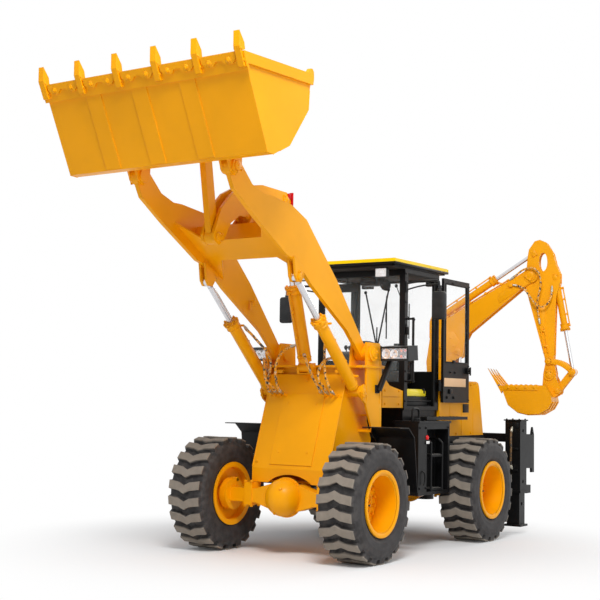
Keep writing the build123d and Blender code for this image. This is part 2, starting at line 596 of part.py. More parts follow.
ROCKER_OUTLINE = [(1322, 2850), (1215, 3090), (1060, 3240), (860, 3335), (620, 3380), (220, 3372),
                  (150, 3320), (160, 3250), (220, 3228), (500, 3180), (640, 3070), (660, 2990),
                  (760, 2985), (830, 3060), (960, 3050), (1080, 2970), (1180, 2800), (1250, 2758),
                  (1310, 2790)]
with BuildPart() as rocker:
    for hand in (1, -1):
        plate(ROCKER_OUTLINE, hand * 58, 28)
        disc(ROCKER_PIN, 60, hand * 58, 33)
    disc(ROCKER_PIN, 50, 0, 120)
    disc(ROCKER_PIN, LOADER_PIN_RADIUS + RUNNING, 0, 200, mode=Mode.SUBTRACT)
pieces["rocker"] = rocker.part

with BuildPart() as bucket_link:
    strut(ROCKER_LOW, LINK_PIN, 100, 0, 60)
    disc(ROCKER_LOW, 62, 0, 87)
    disc(LINK_PIN, 62, 0, 87)
pieces["bucket_link"] = bucket_link.part

# Loader bucket
BUCKET_OUTER = [(2268, 4054), (1925, 3348), (1840, 3345), (1755, 3388), (1622, 3454), (1357, 3799),
                (1346, 3959), (1320, 4100)]
BUCKET_INNER = [(2258, 4070), (1914, 3364), (1845, 3361.5), (1762, 3403), (1634, 3466), (1373, 3805),
                (1362, 3961), (1330, 4140), (2258, 4140)]
EDGE = BUCKET_OUTER[0]
HEEL = BUCKET_OUTER[1]
FLOOR = gap(HEEL, EDGE)
FLOOR_OUT = (Vector(EDGE[0], 0, EDGE[1]) - Vector(HEEL[0], 0, HEEL[1])).cross(Vector(0, -1, 0)) / FLOOR


def floor_plane(distance, stand_off):
    """Plane on the underside of the bucket's floor: local x to the left, local y to the lip."""
    x, z = along(HEEL, EDGE, distance, -stand_off)
    return Plane(origin=(x, 0, z), x_dir=(0, 1, 0), z_dir=FLOOR_OUT)


def floor_plate(points, stand_off, thickness):
    """A plate under the bucket's floor, its outline given from the lip."""
    with BuildSketch(floor_plane(FLOOR, stand_off)) as outline:
        with BuildLine():
            Polyline(*points, close=True)
        make_face()
    extrude(outline.sketch, amount=thickness)


with BuildPart() as loader_bucket:
    plate(BUCKET_OUTER, 0, BUCKET_WIDTH - 2 * SIDE_STRIP)
    plate(BUCKET_INNER, 0, BUCKET_WIDTH - 2 * SIDE_STRIP - 2 * BUCKET_WALL, mode=Mode.SUBTRACT)
    half = BUCKET_WIDTH / 2
    floor_plate([(-half, 4), (half, 4), (half, -LIP_BAND), (-half, -LIP_BAND)], 0, LIP_PLATE)
    for y in WEAR_PLATES:
        floor_plate([(y - 80, -LIP_BAND + 5), (y + 80, -LIP_BAND + 5), (y + 80, -FLOOR + 12), (y - 80, -FLOOR + 12)], 0, 8)
    for hand in (1, -1):
        plate([EDGE, along(EDGE, HEEL, 95), (1322, 4010), (1312, 4060), (1316, 4118), (1336, 4140), (1364, 4138),
               (1400, 4096)], hand * (half - SIDE_STRIP / 2), SIDE_STRIP)
        plate([(1322, 4010), (1312, 4060), (1316, 4118), (1336, 4140), (1364, 4138), (1400, 4096), (1420, 4000)],
              hand * (half - SIDE_STRIP - BUCKET_WALL / 2), BUCKET_WALL)
    for hand in (1, -1):
        for offset in (-40.5, 40.5):
            plate([(1640, 3260), (1720, 3290), (1768, 3390), (1630, 3460), (1568, 3535), (1575, 3310)],
                  hand * ARM_Y + offset, 20)
        disc(BUCKET_PIN, 60, hand * (ARM_Y + 58), 20)
        disc(BUCKET_PIN, 60, hand * (ARM_Y - 58), 20)
        disc(BUCKET_PIN, LOADER_PIN_RADIUS, hand * ARM_Y, 100)
        plate([(1628, 3458), (1365, 3800), (1300, 3700), (1320, 3540), (1380, 3510)], hand * 56, 24)
pieces["loader_bucket"] = loader_bucket.part

with BuildPart() as bucket_teeth:
    pitch = (BUCKET_WIDTH - 80) / (TOOTH_COUNT - 1)
    under = -LIP_PLATE - FIT
    for number in range(TOOTH_COUNT):
        y = (number - (TOOTH_COUNT - 1) / 2) * pitch
        plate([along(HEEL, EDGE, FLOOR - 115, under), along(HEEL, EDGE, FLOOR - 105, under - 26),
               along(HEEL, EDGE, FLOOR + 50, under - 26), along(HEEL, EDGE, FLOOR + 160, 5),
               along(HEEL, EDGE, FLOOR + 60, 30), along(HEEL, EDGE, FLOOR + 8, 18),
               along(HEEL, EDGE, FLOOR + 8, under)], y, TOOTH_WIDTH)
    for number in range(TOOTH_COUNT - 1):
        y = (number + 1 - (TOOTH_COUNT - 1) / 2 - 0.5) * pitch
        reach = EDGE_SEGMENT / 2
        floor_plate([(y - reach, 12), (y + reach, 12), (y + reach, -38), (y + 125, -76), (y + 62, -76), (y + 30, -42),
                     (y - 30, -42), (y - 62, -76), (y - 125, -76), (y - reach, -38)], LIP_PLATE + FIT, 14)
pieces["bucket_teeth"] = bucket_teeth.part


# Hydraulic cylinders: a barrel on its base pin and a rod with an eye

def make_barrel(base, eye, length, radius, rod_radius, offsets, boss, frame=MACHINE):
    """Barrels that reach length from the base pin towards the eye, bored for the rod."""
    boss_radius, boss_width = boss
    inside = radius - BARREL_WALL
    with BuildPart() as barrel:
        for y in offsets:
            near, far = along(base, eye, boss_radius + 15), along(base, eye, length)
            neck = along(base, eye, boss_radius + 20)
            collar = along(base, eye, length - 70)
            bar((near[0], y, near[1]), (far[0], y, far[1]), radius, frame)
            bar((collar[0], y, collar[1]), (far[0], y, far[1]), radius + 10, frame)
            disc(base, boss_radius, y, boss_width, frame)
            strut(base, neck, boss_radius, y, min(boss_width, radius), frame)
            bore = along(base, eye, boss_radius + 40)
            past = along(base, eye, length + 5)
            bar((bore[0], y, bore[1]), (collar[0], y, collar[1]), inside, frame, Mode.SUBTRACT)
            bar((bore[0], y, bore[1]), (past[0], y, past[1]), rod_radius + FIT, frame, Mode.SUBTRACT)
    return barrel.part


def make_rod(base, eye, tail, radius, offsets, boss, frame=MACHINE, neck=20):
    """Rods from tail, measured from the base pin, to a flat neck and the eye."""
    boss_radius, boss_width = boss
    with BuildPart() as rod:
        for y in offsets:
            start = along(base, eye, tail)
            end = along(base, eye, gap(base, eye) - neck)
            bar((start[0], y, start[1]), (end[0], y, end[1]), radius, frame)
            strut(along(base, eye, gap(base, eye) - neck - 15), eye, boss_radius, y, boss_width, frame)
            disc(eye, boss_radius, y, boss_width, frame)
    return rod.part


BARREL_WALL = 10.0
LIFT_BARREL = 930.0
LIFT_CLOSED = 1004.7
pieces["lift_barrels"] = make_barrel(LIFT_BASE, LIFT_PIN, LIFT_BARREL, 55, 30, (ARM_Y, -ARM_Y), (50, LIFT_BOSS))
pieces["lift_rods"] = make_rod(LIFT_BASE, LIFT_PIN, gap(LIFT_BASE, LIFT_PIN) - LIFT_CLOSED + 125, 30,
                               (ARM_Y, -ARM_Y), (46, ARM_THICKNESS - 2 * FIT), neck=65)

TILT_BARREL = 800.0
TILT_TAIL = 715.0
TILT_RING = (640.0, 665.0)
with BuildPart() as tilt_barrel:
    add(make_barrel(TILT_BASE, ROCKER_HIGH, TILT_BARREL, 65, 34, (0,), (48, 101)))
    disc(TILT_BASE, TILT_PIN_RADIUS + RUNNING, 0, 120, mode=Mode.SUBTRACT)
pieces["tilt_barrel"] = tilt_barrel.part
pieces["tilt_rod"] = make_rod(TILT_BASE, ROCKER_HIGH, TILT_TAIL, 34, (0,), (62, 86))
with BuildPart() as tilt_piston:
    start, end = [along(TILT_BASE, ROCKER_HIGH, distance) for distance in TILT_RING]
    bar((start[0], 0, start[1]), (end[0], 0, end[1]), 54.5)
    bar((start[0], 0, start[1]), (end[0], 0, end[1]), 34.5, mode=Mode.SUBTRACT)
pieces["tilt_piston"] = tilt_piston.part

# Slide frame with the stabiliser sleeves
with BuildPart() as slide_frame:
    for z in (440, 1010):
        block((SLIDE_X - 40, LEG_X - LEG_TUBE / 2), (-SLIDE_HALF, SLIDE_HALF), (z, z + 90))
    for hand in (1, -1):
        inner, outer = hand * (SLIDE_HALF - LEG_TUBE), hand * SLIDE_HALF
        block((LEG_X - LEG_TUBE / 2, LEG_X + LEG_TUBE / 2), (inner, outer), (LEG_COLLAR, LEG_TOP))
        block((LEG_X - 75.5, LEG_X + 75.5), (inner + hand * 14.5, outer - hand * 14.5),
              (LEG_COLLAR - 1, LEG_TOP - 12), mode=Mode.SUBTRACT)
        block((LEG_X - 98, LEG_X + 98), (inner - hand * 8, outer + hand * 8), (LEG_COLLAR, LEG_COLLAR + 25))
        block((LEG_X - 75.5, LEG_X + 75.5), (inner + hand * 14.5, outer - hand * 14.5),
              (LEG_COLLAR - 1, LEG_COLLAR + 30), mode=Mode.SUBTRACT)
        block((LEG_X - 100, LEG_X + 100), (inner - hand * 15, outer + hand * 15), (LEG_TOP, LEG_TOP + 14))
        plate([(LEG_X - 85, 720), (SLIDE_X - 70, 715), (SLIDE_X - 75, 668), (SLIDE_X - 140, 668),
               (SLIDE_X - 140, 1090), (SLIDE_X - 105, 1180), (SLIDE_X - 70, 1090), (LEG_X - 85, 1060)],
              hand * (SLIDE_HALF - 12), 24)
        disc((SLIDE_X - 105, 1110), TIE_DOWN_RADIUS, hand * (SLIDE_HALF - 12), 30, mode=Mode.SUBTRACT)
        for z in LOCK_LEVELS:
            disc((LEG_X + 10, z), LOCK_RADIUS, hand * (SLIDE_HALF - LEG_TUBE / 2), LEG_TUBE + 20, mode=Mode.SUBTRACT)
        block((SLIDE_X + 40, SLIDE_X + 60), (hand * 300, hand * 340), (450, 1090))
    for y in (-340, 340):
        block((SLIDE_X + 60, REAR_FRAME_END), (y - 15, y + 15), (560, 1090))
pieces["slide_frame"] = slide_frame.part


def make_leg(hand):
    """A stabiliser leg in its sleeve with a flat foot."""
    centre = hand * (SLIDE_HALF - LEG_TUBE / 2)
    with BuildPart() as leg:
        block((LEG_X - 75, LEG_X + 75), (centre - 75, centre + 75), (LEG_FOOT, LEG_TOP - 330))
        block((LEG_X - 100, LEG_X + 100), (centre - 100, centre + 100), (LEG_FOOT, LEG_FOOT + 22))
        block((LEG_X - 63, LEG_X + 63), (centre - 63, centre + 63), (LEG_FOOT + 40, LEG_TOP), mode=Mode.SUBTRACT)
        disc((LEG_X + 10, 330), LOCK_RADIUS, centre, LEG_TUBE, mode=Mode.SUBTRACT)
    return leg.part


pieces["leg_left"] = make_leg(1)
pieces["leg_right"] = make_leg(-1)

# Hoe carriage, clamped to the slide rails
LUG_LEVELS = (400.0, 1120.0)
LUG_PLATE = 40.0
LUG_NOSE = 85.0
with BuildPart() as hoe_carriage:
    block((SLIDE_X - 40 - FIT, SLIDE_X - 81), (SWING_Y - 235, SWING_Y + 235), (LUG_LEVELS[0], LUG_LEVELS[1] + LUG_PLATE))
    for z in LUG_LEVELS:
        level([(SLIDE_X - 60, SWING_Y - 200), (SLIDE_X - 60, SWING_Y + 200), (SWING_X + 85, SWING_Y + LUG_NOSE),
               (SWING_X, SWING_Y + LUG_NOSE), (SWING_X, SWING_Y - LUG_NOSE), (SWING_X + 85, SWING_Y - LUG_NOSE)],
              z, LUG_PLATE)
        round_plate(SWING_X, SWING_Y, LUG_NOSE, z, LUG_PLATE)
        round_plate(SWING_X, SWING_Y, 45, z - 15, LUG_PLATE + 30)
    round_plate(SWING_X, SWING_Y, 110, LUG_LEVELS[0] - 125, 125)
    round_plate(SWING_X, SWING_Y, 39.5, LUG_LEVELS[0], LUG_LEVELS[1] - LUG_LEVELS[0])
pieces["hoe_carriage"] = hoe_carriage.part

with BuildPart() as swing_post:
    bottom, top = LUG_LEVELS[0] + LUG_PLATE + 15 + FIT, LUG_LEVELS[1] - 15 - FIT
    round_plate(SWING_X, SWING_Y, POST_RADIUS, bottom, top - bottom)
    for hand in (1, -1):
        plate([(0, 470), (60, 470), (430, 500), (470, 560), (430, 620), (180, 700), (300, 930),
               (290, 1000), (220, 1035), (0, 1090)], hand * (BOOM_HALF + 14), 26, HOE)
        plate([(30, 480), (440, 505), (460, 560), (430, 610), (30, 640)], hand * 62, 22, HOE)
    block_half = BOOM_HALF + 2
    plate([(0, 500), (300, 520), (300, 600), (0, 640)], 0, 2 * block_half, HOE)
    disc(BOOM_FOOT, HOE_PIN_RADIUS, 0, 2 * (BOOM_HALF + 34), HOE)
    round_plate(SWING_X, SWING_Y, 39.5 + RUNNING, bottom - 5, top - bottom + 10, mode=Mode.SUBTRACT)
pieces["swing_post"] = swing_post.part

BOOM_OUTLINE = [(145, 930), (120, 1180), (60, 1500), (30, 1930), (75, 2240), (187, 2400), (1240, 3020), (1300, 3035),
                (1360, 3000), (1372, 2940), (1330, 2890), (1183, 2796), (560, 2280), (500, 2160),
                (480, 2000), (400, 1960), (330, 1850), (320, 1500), (310, 930), (270, 875), (220, 860),
                (170, 875)]
with BuildPart() as hoe_boom:
    for hand in (1, -1):
        plate(BOOM_OUTLINE, hand * (BOOM_HALF - 9), 18, HOE)
    plate([(145, 930), (120, 1180), (60, 1500), (30, 1930), (75, 2240), (187, 2400), (1110, 2943), (1150, 2800),
           (560, 2330), (450, 2240), (330, 2180), (280, 1850), (320, 1500), (310, 930), (270, 875),
           (220, 860), (170, 875)], 0, 2 * (BOOM_HALF - 18), HOE)
    for hand in (1, -1):
        plate([(60, 2220), (187, 2380), (240, 2440), (150, 2500), (90, 2490), (60, 2420)], hand * 56, 18, HOE)
    disc(STICK_PIN, HOE_PIN_RADIUS, 0, 2 * BOOM_HALF, HOE)
    for hand in (1, -1):
        disc(STICK_PIN, 62, hand * (BOOM_HALF + 8), 18, HOE)
    disc(BOOM_FOOT, HOE_PIN_RADIUS + RUNNING, 0, 400, HOE, mode=Mode.SUBTRACT)
pieces["hoe_boom"] = hoe_boom.part

STICK_OUTLINE = [(1230, 2900), (1240, 2790), (1470, 1940), (1440, 1790), (1470, 1715), (1530, 1700),
                 (1590, 1740), (1595, 1800), (1565, 1960), (1592, 2700), (1640, 2880), (1640, 2980),
                 (1592, 3090), (1560, 3220), (1480, 3350), (1400, 3385), (1340, 3370), (1270, 3270),
                 (1255, 3180), (1240, 3000)]
with BuildPart() as hoe_stick:
    for hand in (1, -1):
        plate(STICK_OUTLINE, hand * (STICK_HALF - 9), 18, HOE)
    plate([(1240, 2860), (1245, 2790), (1470, 1940), (1440, 1790), (1470, 1715), (1530, 1700),
           (1590, 1740), (1590, 1800), (1560, 1960), (1545, 2700), (1520, 2830), (1400, 2900), (1360, 3040),
           (1300, 3040), (1240, 2970)], 0, 2 * STICK_HALF - 36, HOE)
    disc(HOE_PIN, 52, 0, 2 * (HOE_EAR_Y - FIT), HOE)
    with BuildSketch(side(0, HOE)) as window:
        with Locations((1440, 3120)):
            Ellipse(48, 110)
    extrude(window.sketch, amount=100, both=True, mode=Mode.SUBTRACT)
    disc(STICK_PIN, HOE_PIN_RADIUS + RUNNING, 0, 400, HOE, mode=Mode.SUBTRACT)
    disc(HOE_PIN, BUCKET_PIN_RADIUS + RUNNING, 0, 400, HOE, mode=Mode.SUBTRACT)
    disc(LEVER_PIN, LEVER_PIN_RADIUS + RUNNING, 0, 400, HOE, mode=Mode.SUBTRACT)
pieces["hoe_stick"] = hoe_stick.part

BOOM_BARREL = 760.0
pieces["boom_barrel"] = make_barrel(BOOM_BASE, BOOM_EYE, BOOM_BARREL, 52, 28, (0,), (50, 100), HOE)
pieces["boom_rod"] = make_rod(BOOM_BASE, BOOM_EYE, gap(BOOM_BASE, BOOM_EYE) - 850, 28, (0,), (50, 130), HOE)
STICK_BARREL = 880.0
pieces["stick_barrel"] = make_barrel(STICK_BASE, STICK_EYE, STICK_BARREL, 42, 24, (0,), (44, 80), HOE)
pieces["stick_rod"] = make_rod(STICK_BASE, STICK_EYE, gap(STICK_BASE, STICK_EYE) - 960, 24, (0,), (44, 93), HOE)
CURL_BARREL = 620.0
pieces["curl_barrel"] = make_barrel(CURL_BASE, CURL_EYE, CURL_BARREL, 38, 22, (0,), (40, 90), HOE)
pieces["curl_rod"] = make_rod(CURL_BASE, CURL_EYE, gap(CURL_BASE, CURL_EYE) - 650, 22, (0,), (40, 70), HOE)

with BuildPart() as hoe_lever:
    for hand in (1, -1):
        strut(LEVER_PIN, CURL_EYE, 84, hand * (STICK_HALF + 12), 22, HOE)
    disc(LEVER_PIN, LEVER_PIN_RADIUS, 0, 2 * (STICK_HALF + 23), HOE)
pieces["hoe_lever"] = hoe_lever.part
with BuildPart() as hoe_link:
    for hand in (1, -1):
        strut(CURL_EYE, HOE_LINK_PIN, 76, hand * 45, 18, HOE)
        disc(HOE_LINK_PIN, 34, hand * (36 + HOE_EAR_Y - FIT) / 2, HOE_EAR_Y - FIT - 36, HOE)
pieces["hoe_link"] = hoe_link.part

HOE_OUTER = [(978, 1649), (1060, 1430), (1170, 1345), (1290, 1319), (1420, 1325), (1530, 1390),
             (1575, 1470), (1560, 1545), (1500, 1660)]
HOE_INNER = [(960, 1700), (1075, 1440), (1178, 1361), (1291, 1336), (1413, 1342), (1517, 1402),
             (1557, 1476), (1543, 1540), (1470, 1700)]
with BuildPart() as hoe_bucket:
    plate(HOE_OUTER, 0, HOE_WIDTH, HOE)
    plate(HOE_INNER, 0, HOE_WIDTH - 32, HOE, mode=Mode.SUBTRACT)
    for hand in (1, -1):
        plate([(1440, 1640), (1450, 1780), (1475, 1835), (1517, 1850), (1560, 1835), (1650, 1640),
               (1650, 1580), (1600, 1540), (1530, 1500)], hand * (HOE_EAR_Y + 10), 20, HOE)
        disc(HOE_PIN, 62, hand * (HOE_EAR_Y + 24), 14, HOE)
    disc(HOE_PIN, BUCKET_PIN_RADIUS, 0, 2 * HOE_EAR_Y + 30, HOE)
    for number in range(4):
        y = (number / 3 - 0.5) * (HOE_WIDTH - 60)
        plate([(1000, 1610), (985, 1650), (820, 1853), (950, 1625), (985, 1560)], y, 50, HOE)
pieces["hoe_bucket"] = hoe_bucket.part

# The origin goes to the ground below the middle of the whole machine
boxes = [piece.bounding_box() for piece in pieces.values()]
low = Vector(*[min(getattr(box.min, axis) for box in boxes) for axis in "XYZ"])
high = Vector(*[max(getattr(box.max, axis) for box in boxes) for axis in "XYZ"])
shift = Vector(-(low.X + high.X) / 2, -(low.Y + high.Y) / 2, -low.Z)
print("shift", round(shift.X, 3), round(shift.Y, 3), round(shift.Z, 3))
print("size", round(high.X - low.X, 1), round(high.Y - low.Y, 1), round(high.Z - low.Z, 1))

os.makedirs("parts", exist_ok=True)
for name, piece in pieces.items():
    placed = piece.moved(Location(shift))
    placed.label = name
    export_step(placed, f"parts/{name}.step")
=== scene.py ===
"""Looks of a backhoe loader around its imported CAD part: finishes, fittings, hoses, seat and studio.

Lengths are metres. The machine frame has its origin on the ground below the middle of the front axle,
+X forward, +Y to the machine's left and +Z up. A Station takes its own points to the row frame.
"""

import logging
import math
from dataclasses import dataclass
from enum import Enum
from functools import cache
from typing import Any, Iterable, Sequence

import bmesh
import bpy
from mathutils import Euler, Matrix, Vector


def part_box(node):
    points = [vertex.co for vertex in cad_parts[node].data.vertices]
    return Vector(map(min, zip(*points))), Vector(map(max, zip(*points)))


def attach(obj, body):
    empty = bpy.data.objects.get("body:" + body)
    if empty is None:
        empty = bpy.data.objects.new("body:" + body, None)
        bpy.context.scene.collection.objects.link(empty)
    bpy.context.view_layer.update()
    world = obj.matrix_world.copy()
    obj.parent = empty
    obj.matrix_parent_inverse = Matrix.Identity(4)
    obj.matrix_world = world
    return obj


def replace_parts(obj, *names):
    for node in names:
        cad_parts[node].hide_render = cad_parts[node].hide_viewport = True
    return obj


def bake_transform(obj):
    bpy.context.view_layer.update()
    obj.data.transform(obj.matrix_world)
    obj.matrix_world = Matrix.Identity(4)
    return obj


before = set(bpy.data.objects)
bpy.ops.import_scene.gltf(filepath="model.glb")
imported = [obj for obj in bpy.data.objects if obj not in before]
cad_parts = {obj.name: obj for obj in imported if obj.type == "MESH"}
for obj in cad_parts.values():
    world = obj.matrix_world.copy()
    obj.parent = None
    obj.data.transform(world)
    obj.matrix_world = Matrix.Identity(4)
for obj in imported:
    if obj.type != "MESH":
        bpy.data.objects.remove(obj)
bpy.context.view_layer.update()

LOG = logging.getLogger("backhoe_loader")

Point = tuple[float, float, float]
Flat = tuple[float, float]
Colour = tuple[float, float, float, float]

TYRE_RADIUS = 0.5375
HANDS = (1.0, -1.0)

# Pins of the loader's side profile, x and z of the machine frame, and of the hoe's, in the hoe's frame
ARM_Y = 0.49
ARM_PIVOT: Flat = (-0.52, 1.90)
BUCKET_PIN: Flat = (1.655, 3.335)
LIFT_PIN: Flat = (0.67, 2.52)
LIFT_BASE: Flat = (-0.38, 1.53)
ROCKER_PIN: Flat = (0.72, 3.05)
ROCKER_LOW: Flat = (1.25, 2.83)
ROCKER_HIGH: Flat = (0.22, 3.30)
LINK_PIN: Flat = (1.385, 3.60)
TILT_BASE: Flat = (-0.27, 1.752)
HEEL: Flat = (1.925, 3.348)
EDGE: Flat = (2.268, 4.054)
BOOM_FOOT: Flat = (0.22, 0.95)
STICK_PIN: Flat = (1.296, 2.962)
HOE_PIN: Flat = (1.517, 1.78)
BOOM_BASE: Flat = (0.40, 0.56)
BOOM_EYE: Flat = (0.42, 2.06)
STICK_BASE: Flat = (0.13, 2.44)
STICK_EYE: Flat = (1.325, 3.23)
CURL_BASE: Flat = (1.58, 2.93)
CURL_EYE: Flat = (1.777, 1.823)
LEVER_PIN: Flat = (1.502, 1.945)
HOE_LINK_PIN: Flat = (1.604, 1.599)
CORNERS = ("front_left", "front_right", "rear_left", "rear_right")


def centre_of(node: str) -> Vector:
    """The middle of a CAD node's box in the row frame."""
    low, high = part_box(node)
    return (low + high) / 2


HUBS: dict[str, Vector] = {corner: centre_of("rim_" + corner) for corner in CORNERS}


@dataclass(frozen=True)
class Station:
    """A place that pieces are drawn from, upright in the row frame.

    Attributes:
        origin: Its origin in the row frame.
        forward: Its own +X direction, level.
    """

    origin: Vector
    forward: Vector

    def matrix(self) -> Matrix:
        """The matrix from this station to the row frame.

        Returns:
            The matrix.
        """
        up = Vector((0, 0, 1))
        left = up.cross(self.forward)
        turn = Matrix((self.forward, left, up)).transposed()
        return Matrix.Translation(self.origin) @ turn.to_4x4()

    def at(self, x: float, y: float, z: float) -> Vector:
        """A point of this station in the row frame."""
        return self.matrix() @ Vector((x, y, z))


AXLE_GROUND = (HUBS["front_left"] + HUBS["front_right"]) / 2 - Vector((0, 0, TYRE_RADIUS))
MACHINE = Station(AXLE_GROUND, Vector((1, 0, 0)))
HOE_BACK = math.radians(102)
HOE = Station(MACHINE.at(-3.72, -0.5, 0), Vector((math.cos(HOE_BACK), math.sin(HOE_BACK), 0)))
WORLD = Station(Vector((0, 0, 0)), Vector((1, 0, 0)))


def paint(red: float, green: float, blue: float) -> Colour:
    """A display colour, red, green and blue from 0 to 1, as the linear colour of Blender's sockets."""
    linear = [c / 12.92 if c <= 0.04045 else ((c + 0.055) / 1.055) ** 2.4 for c in (red, green, blue)]
    return (linear[0], linear[1], linear[2], 1.0)


def scaled(colour: Colour, factor: float, lift: float = 0.0) -> Colour:
    """A colour made darker or lighter."""
    red, green, blue = (min(1.0, c * factor + lift) for c in colour[:3])
    return (red, green, blue, 1.0)


class Value:
    """A number socket whose operators add Math nodes."""

    def __init__(self, graph: "Tree", socket: bpy.types.NodeSocket) -> None:
        """Wraps a socket of a graph."""
        self.graph = graph
        self.socket = socket

    def _math(self, operation: str, first: Any, second: Any) -> "Value":
        """Adds a Math node for an operation on two values."""
        node = self.graph.node("ShaderNodeMath", {"operation": operation}, {0: first, 1: second})
        return Value(self.graph, node.outputs[0])

    def __add__(self, other: Any) -> "Value":
        """Sum."""
        return self._math("ADD", self, other)

    __radd__ = __add__

    def __sub__(self, other: Any) -> "Value":
        """Difference."""
        return self._math("SUBTRACT", self, other)

    def __rsub__(self, other: Any) -> "Value":
        """Difference from a number."""
        return self._math("SUBTRACT", other, self)

    def __mul__(self, other: Any) -> "Value":
        """Product."""
        return self._math("MULTIPLY", self, other)

    __rmul__ = __mul__

    def highest(self, other: Any) -> "Value":
        """The larger of two values."""
        return self._math("MAXIMUM", self, other)

    def between(self, low: float, high: float) -> "Value":
        """A soft step from 0 at low to 1 at high.

        Args:
            low: The value that gives 0.
            high: The value that gives 1.

        Returns:
            The step.
        """
        node = self.graph.node("ShaderNodeMapRange", {"interpolation_type": "SMOOTHSTEP", "clamp": True},
                               {"Value": self, "From Min": low, "From Max": high})
        return Value(self.graph, node.outputs[0])


class Tree:
    """A node tree that is built from nothing."""

    def __init__(self, tree: bpy.types.NodeTree) -> None:
        """Takes a node tree and empties it."""
        self.tree = tree
        tree.nodes.clear()

    def feed(self, socket: bpy.types.NodeSocket, value: Any) -> None:
        """Links a Value or a socket to a socket, or sets a number or a colour on it.

        Args:
            socket: The input socket.
            value: A Value, an output socket, a number or a colour.
        """
        if isinstance(value, Value):
            value = value.socket
        if isinstance(value, bpy.types.NodeSocket):
            self.tree.links.new(value, socket)
        else:
            socket.default_value = value

    def node(self, kind: str, settings: dict[str, Any], inputs: dict[Any, Any]) -> bpy.types.Node:
        """Adds a node.

        Args:
            kind: Blender's name of the node type.
            settings: Attributes that are set first.
            inputs: Numbers, colours, Values or sockets for the node's sockets.

        Returns:
            The node.
        """
        made = self.tree.nodes.new(kind)
        for key, value in settings.items():
            setattr(made, key, value)
        for key, value in inputs.items():
            self.feed(made.inputs[key], value)
        return made

    def seen(self) -> Value:
        """1 where the camera sees a surface straight, in a reflection or through glass, else 0.

        Returns:
            The mask.
        """
        path = self.node("ShaderNodeLightPath", {}, {})
        seen = Value(self, path.outputs["Is Camera Ray"])
        for ray in ("Is Glossy Ray", "Is Transmission Ray"):
            seen = seen.highest(Value(self, path.outputs[ray]))
        return seen


class Graph(Tree):
    """The node tree of one material."""

    def __init__(self, name: str) -> None:
        """Starts an empty material with a Principled shader.

        Args:
            name: The material's name.
        """
        self.material = bpy.data.materials.new(name)
        self.material.use_nodes = True
        super().__init__(self.material.node_tree)
        self.shader = self.node("ShaderNodeBsdfPrincipled", {}, {})
        self.output = self.node("ShaderNodeOutputMaterial", {}, {"Surface": self.shader.outputs[0]})
        self.coordinates = self.node("ShaderNodeTexCoord", {}, {}).outputs["Object"]

    def placed(self, centre: Vector = Vector(), scale: Sequence[float] = (1, 1, 1)) -> bpy.types.NodeSocket:
        """Object coordinates from a centre, scaled along each axis.

        Args:
            centre: The place that becomes 0.
            scale: The scale along x, y and z.

        Returns:
            The vector's socket.
        """
        shift = [-c * s for c, s in zip(centre, scale)]
        inputs = {"Vector": self.coordinates, "Location": shift, "Scale": list(scale)}
        return self.node("ShaderNodeMapping", {}, inputs).outputs[0]

    def noise(self, scale: float, detail: float = 3.0, where: bpy.types.NodeSocket | None = None) -> Value:
        """Noise over Object coordinates or another vector."""
        inputs = {"Vector": where or self.coordinates, "Scale": scale, "Detail": detail}
        return Value(self, self.node("ShaderNodeTexNoise", {}, inputs).outputs[0])

    def length(self, vector: bpy.types.NodeSocket) -> Value:
        """The length of a vector."""
        made = self.node("ShaderNodeVectorMath", {"operation": "LENGTH"}, {0: vector})
        return Value(self, made.outputs["Value"])

    def blend(self, factor: Any, first: Any, second: Any) -> bpy.types.NodeSocket:
        """Mixes two colours."""
        return self.node("ShaderNodeMix", {"data_type": "RGBA"}, {0: factor, 6: first, 7: second}).outputs[2]

    def upward(self) -> Value:
        """How far the surface faces up, 0 to 1.

        Returns:
            The mask.
        """
        geometry = self.node("ShaderNodeNewGeometry", {}, {})
        split = self.node("ShaderNodeSeparateXYZ", {}, {0: geometry.outputs["Normal"]})
        return Value(self, split.outputs[2]).between(0.2, 1.0)

    def edges(self, radius: float) -> tuple[bpy.types.NodeSocket, Value]:
        """Rounded normals and a mask of the sharp edges.

        Args:
            radius: How far from an edge the rounding reaches.

        Returns:
            The rounded normal and the mask.
        """
        rounded = self.node("ShaderNodeBevel", {"samples": 4}, {"Radius": radius}).outputs[0]
        geometry = self.node("ShaderNodeNewGeometry", {}, {})
        likeness = self.node("ShaderNodeVectorMath", {"operation": "DOT_PRODUCT"},
                             {0: rounded, 1: geometry.outputs["Normal"]})
        return rounded, (1 - Value(self, likeness.outputs["Value"])).between(0.02, 0.2)

    def bump(self, height: Value, strength: float, distance: float,
             normal: bpy.types.NodeSocket | None = None) -> None:
        """Feeds a height into the shader's normal, over another normal if one is given.

        Args:
            height: The height over the surface.
            strength: How much of it shows, 0 to 1.
            distance: The height of 1 in metres.
            normal: The normal that it stands on.
        """
        inputs: dict[Any, Any] = {"Height": height, "Strength": strength, "Distance": distance}
        if normal is not None:
            inputs["Normal"] = normal
        self.set(Normal=self.node("ShaderNodeBump", {}, inputs).outputs[0])

    def set(self, **inputs: Any) -> None:
        """Sets or links sockets of the Principled shader; an underscore stands for a space."""
        for key, value in inputs.items():
            self.feed(self.shader.inputs[key.replace("_", " ")], value)


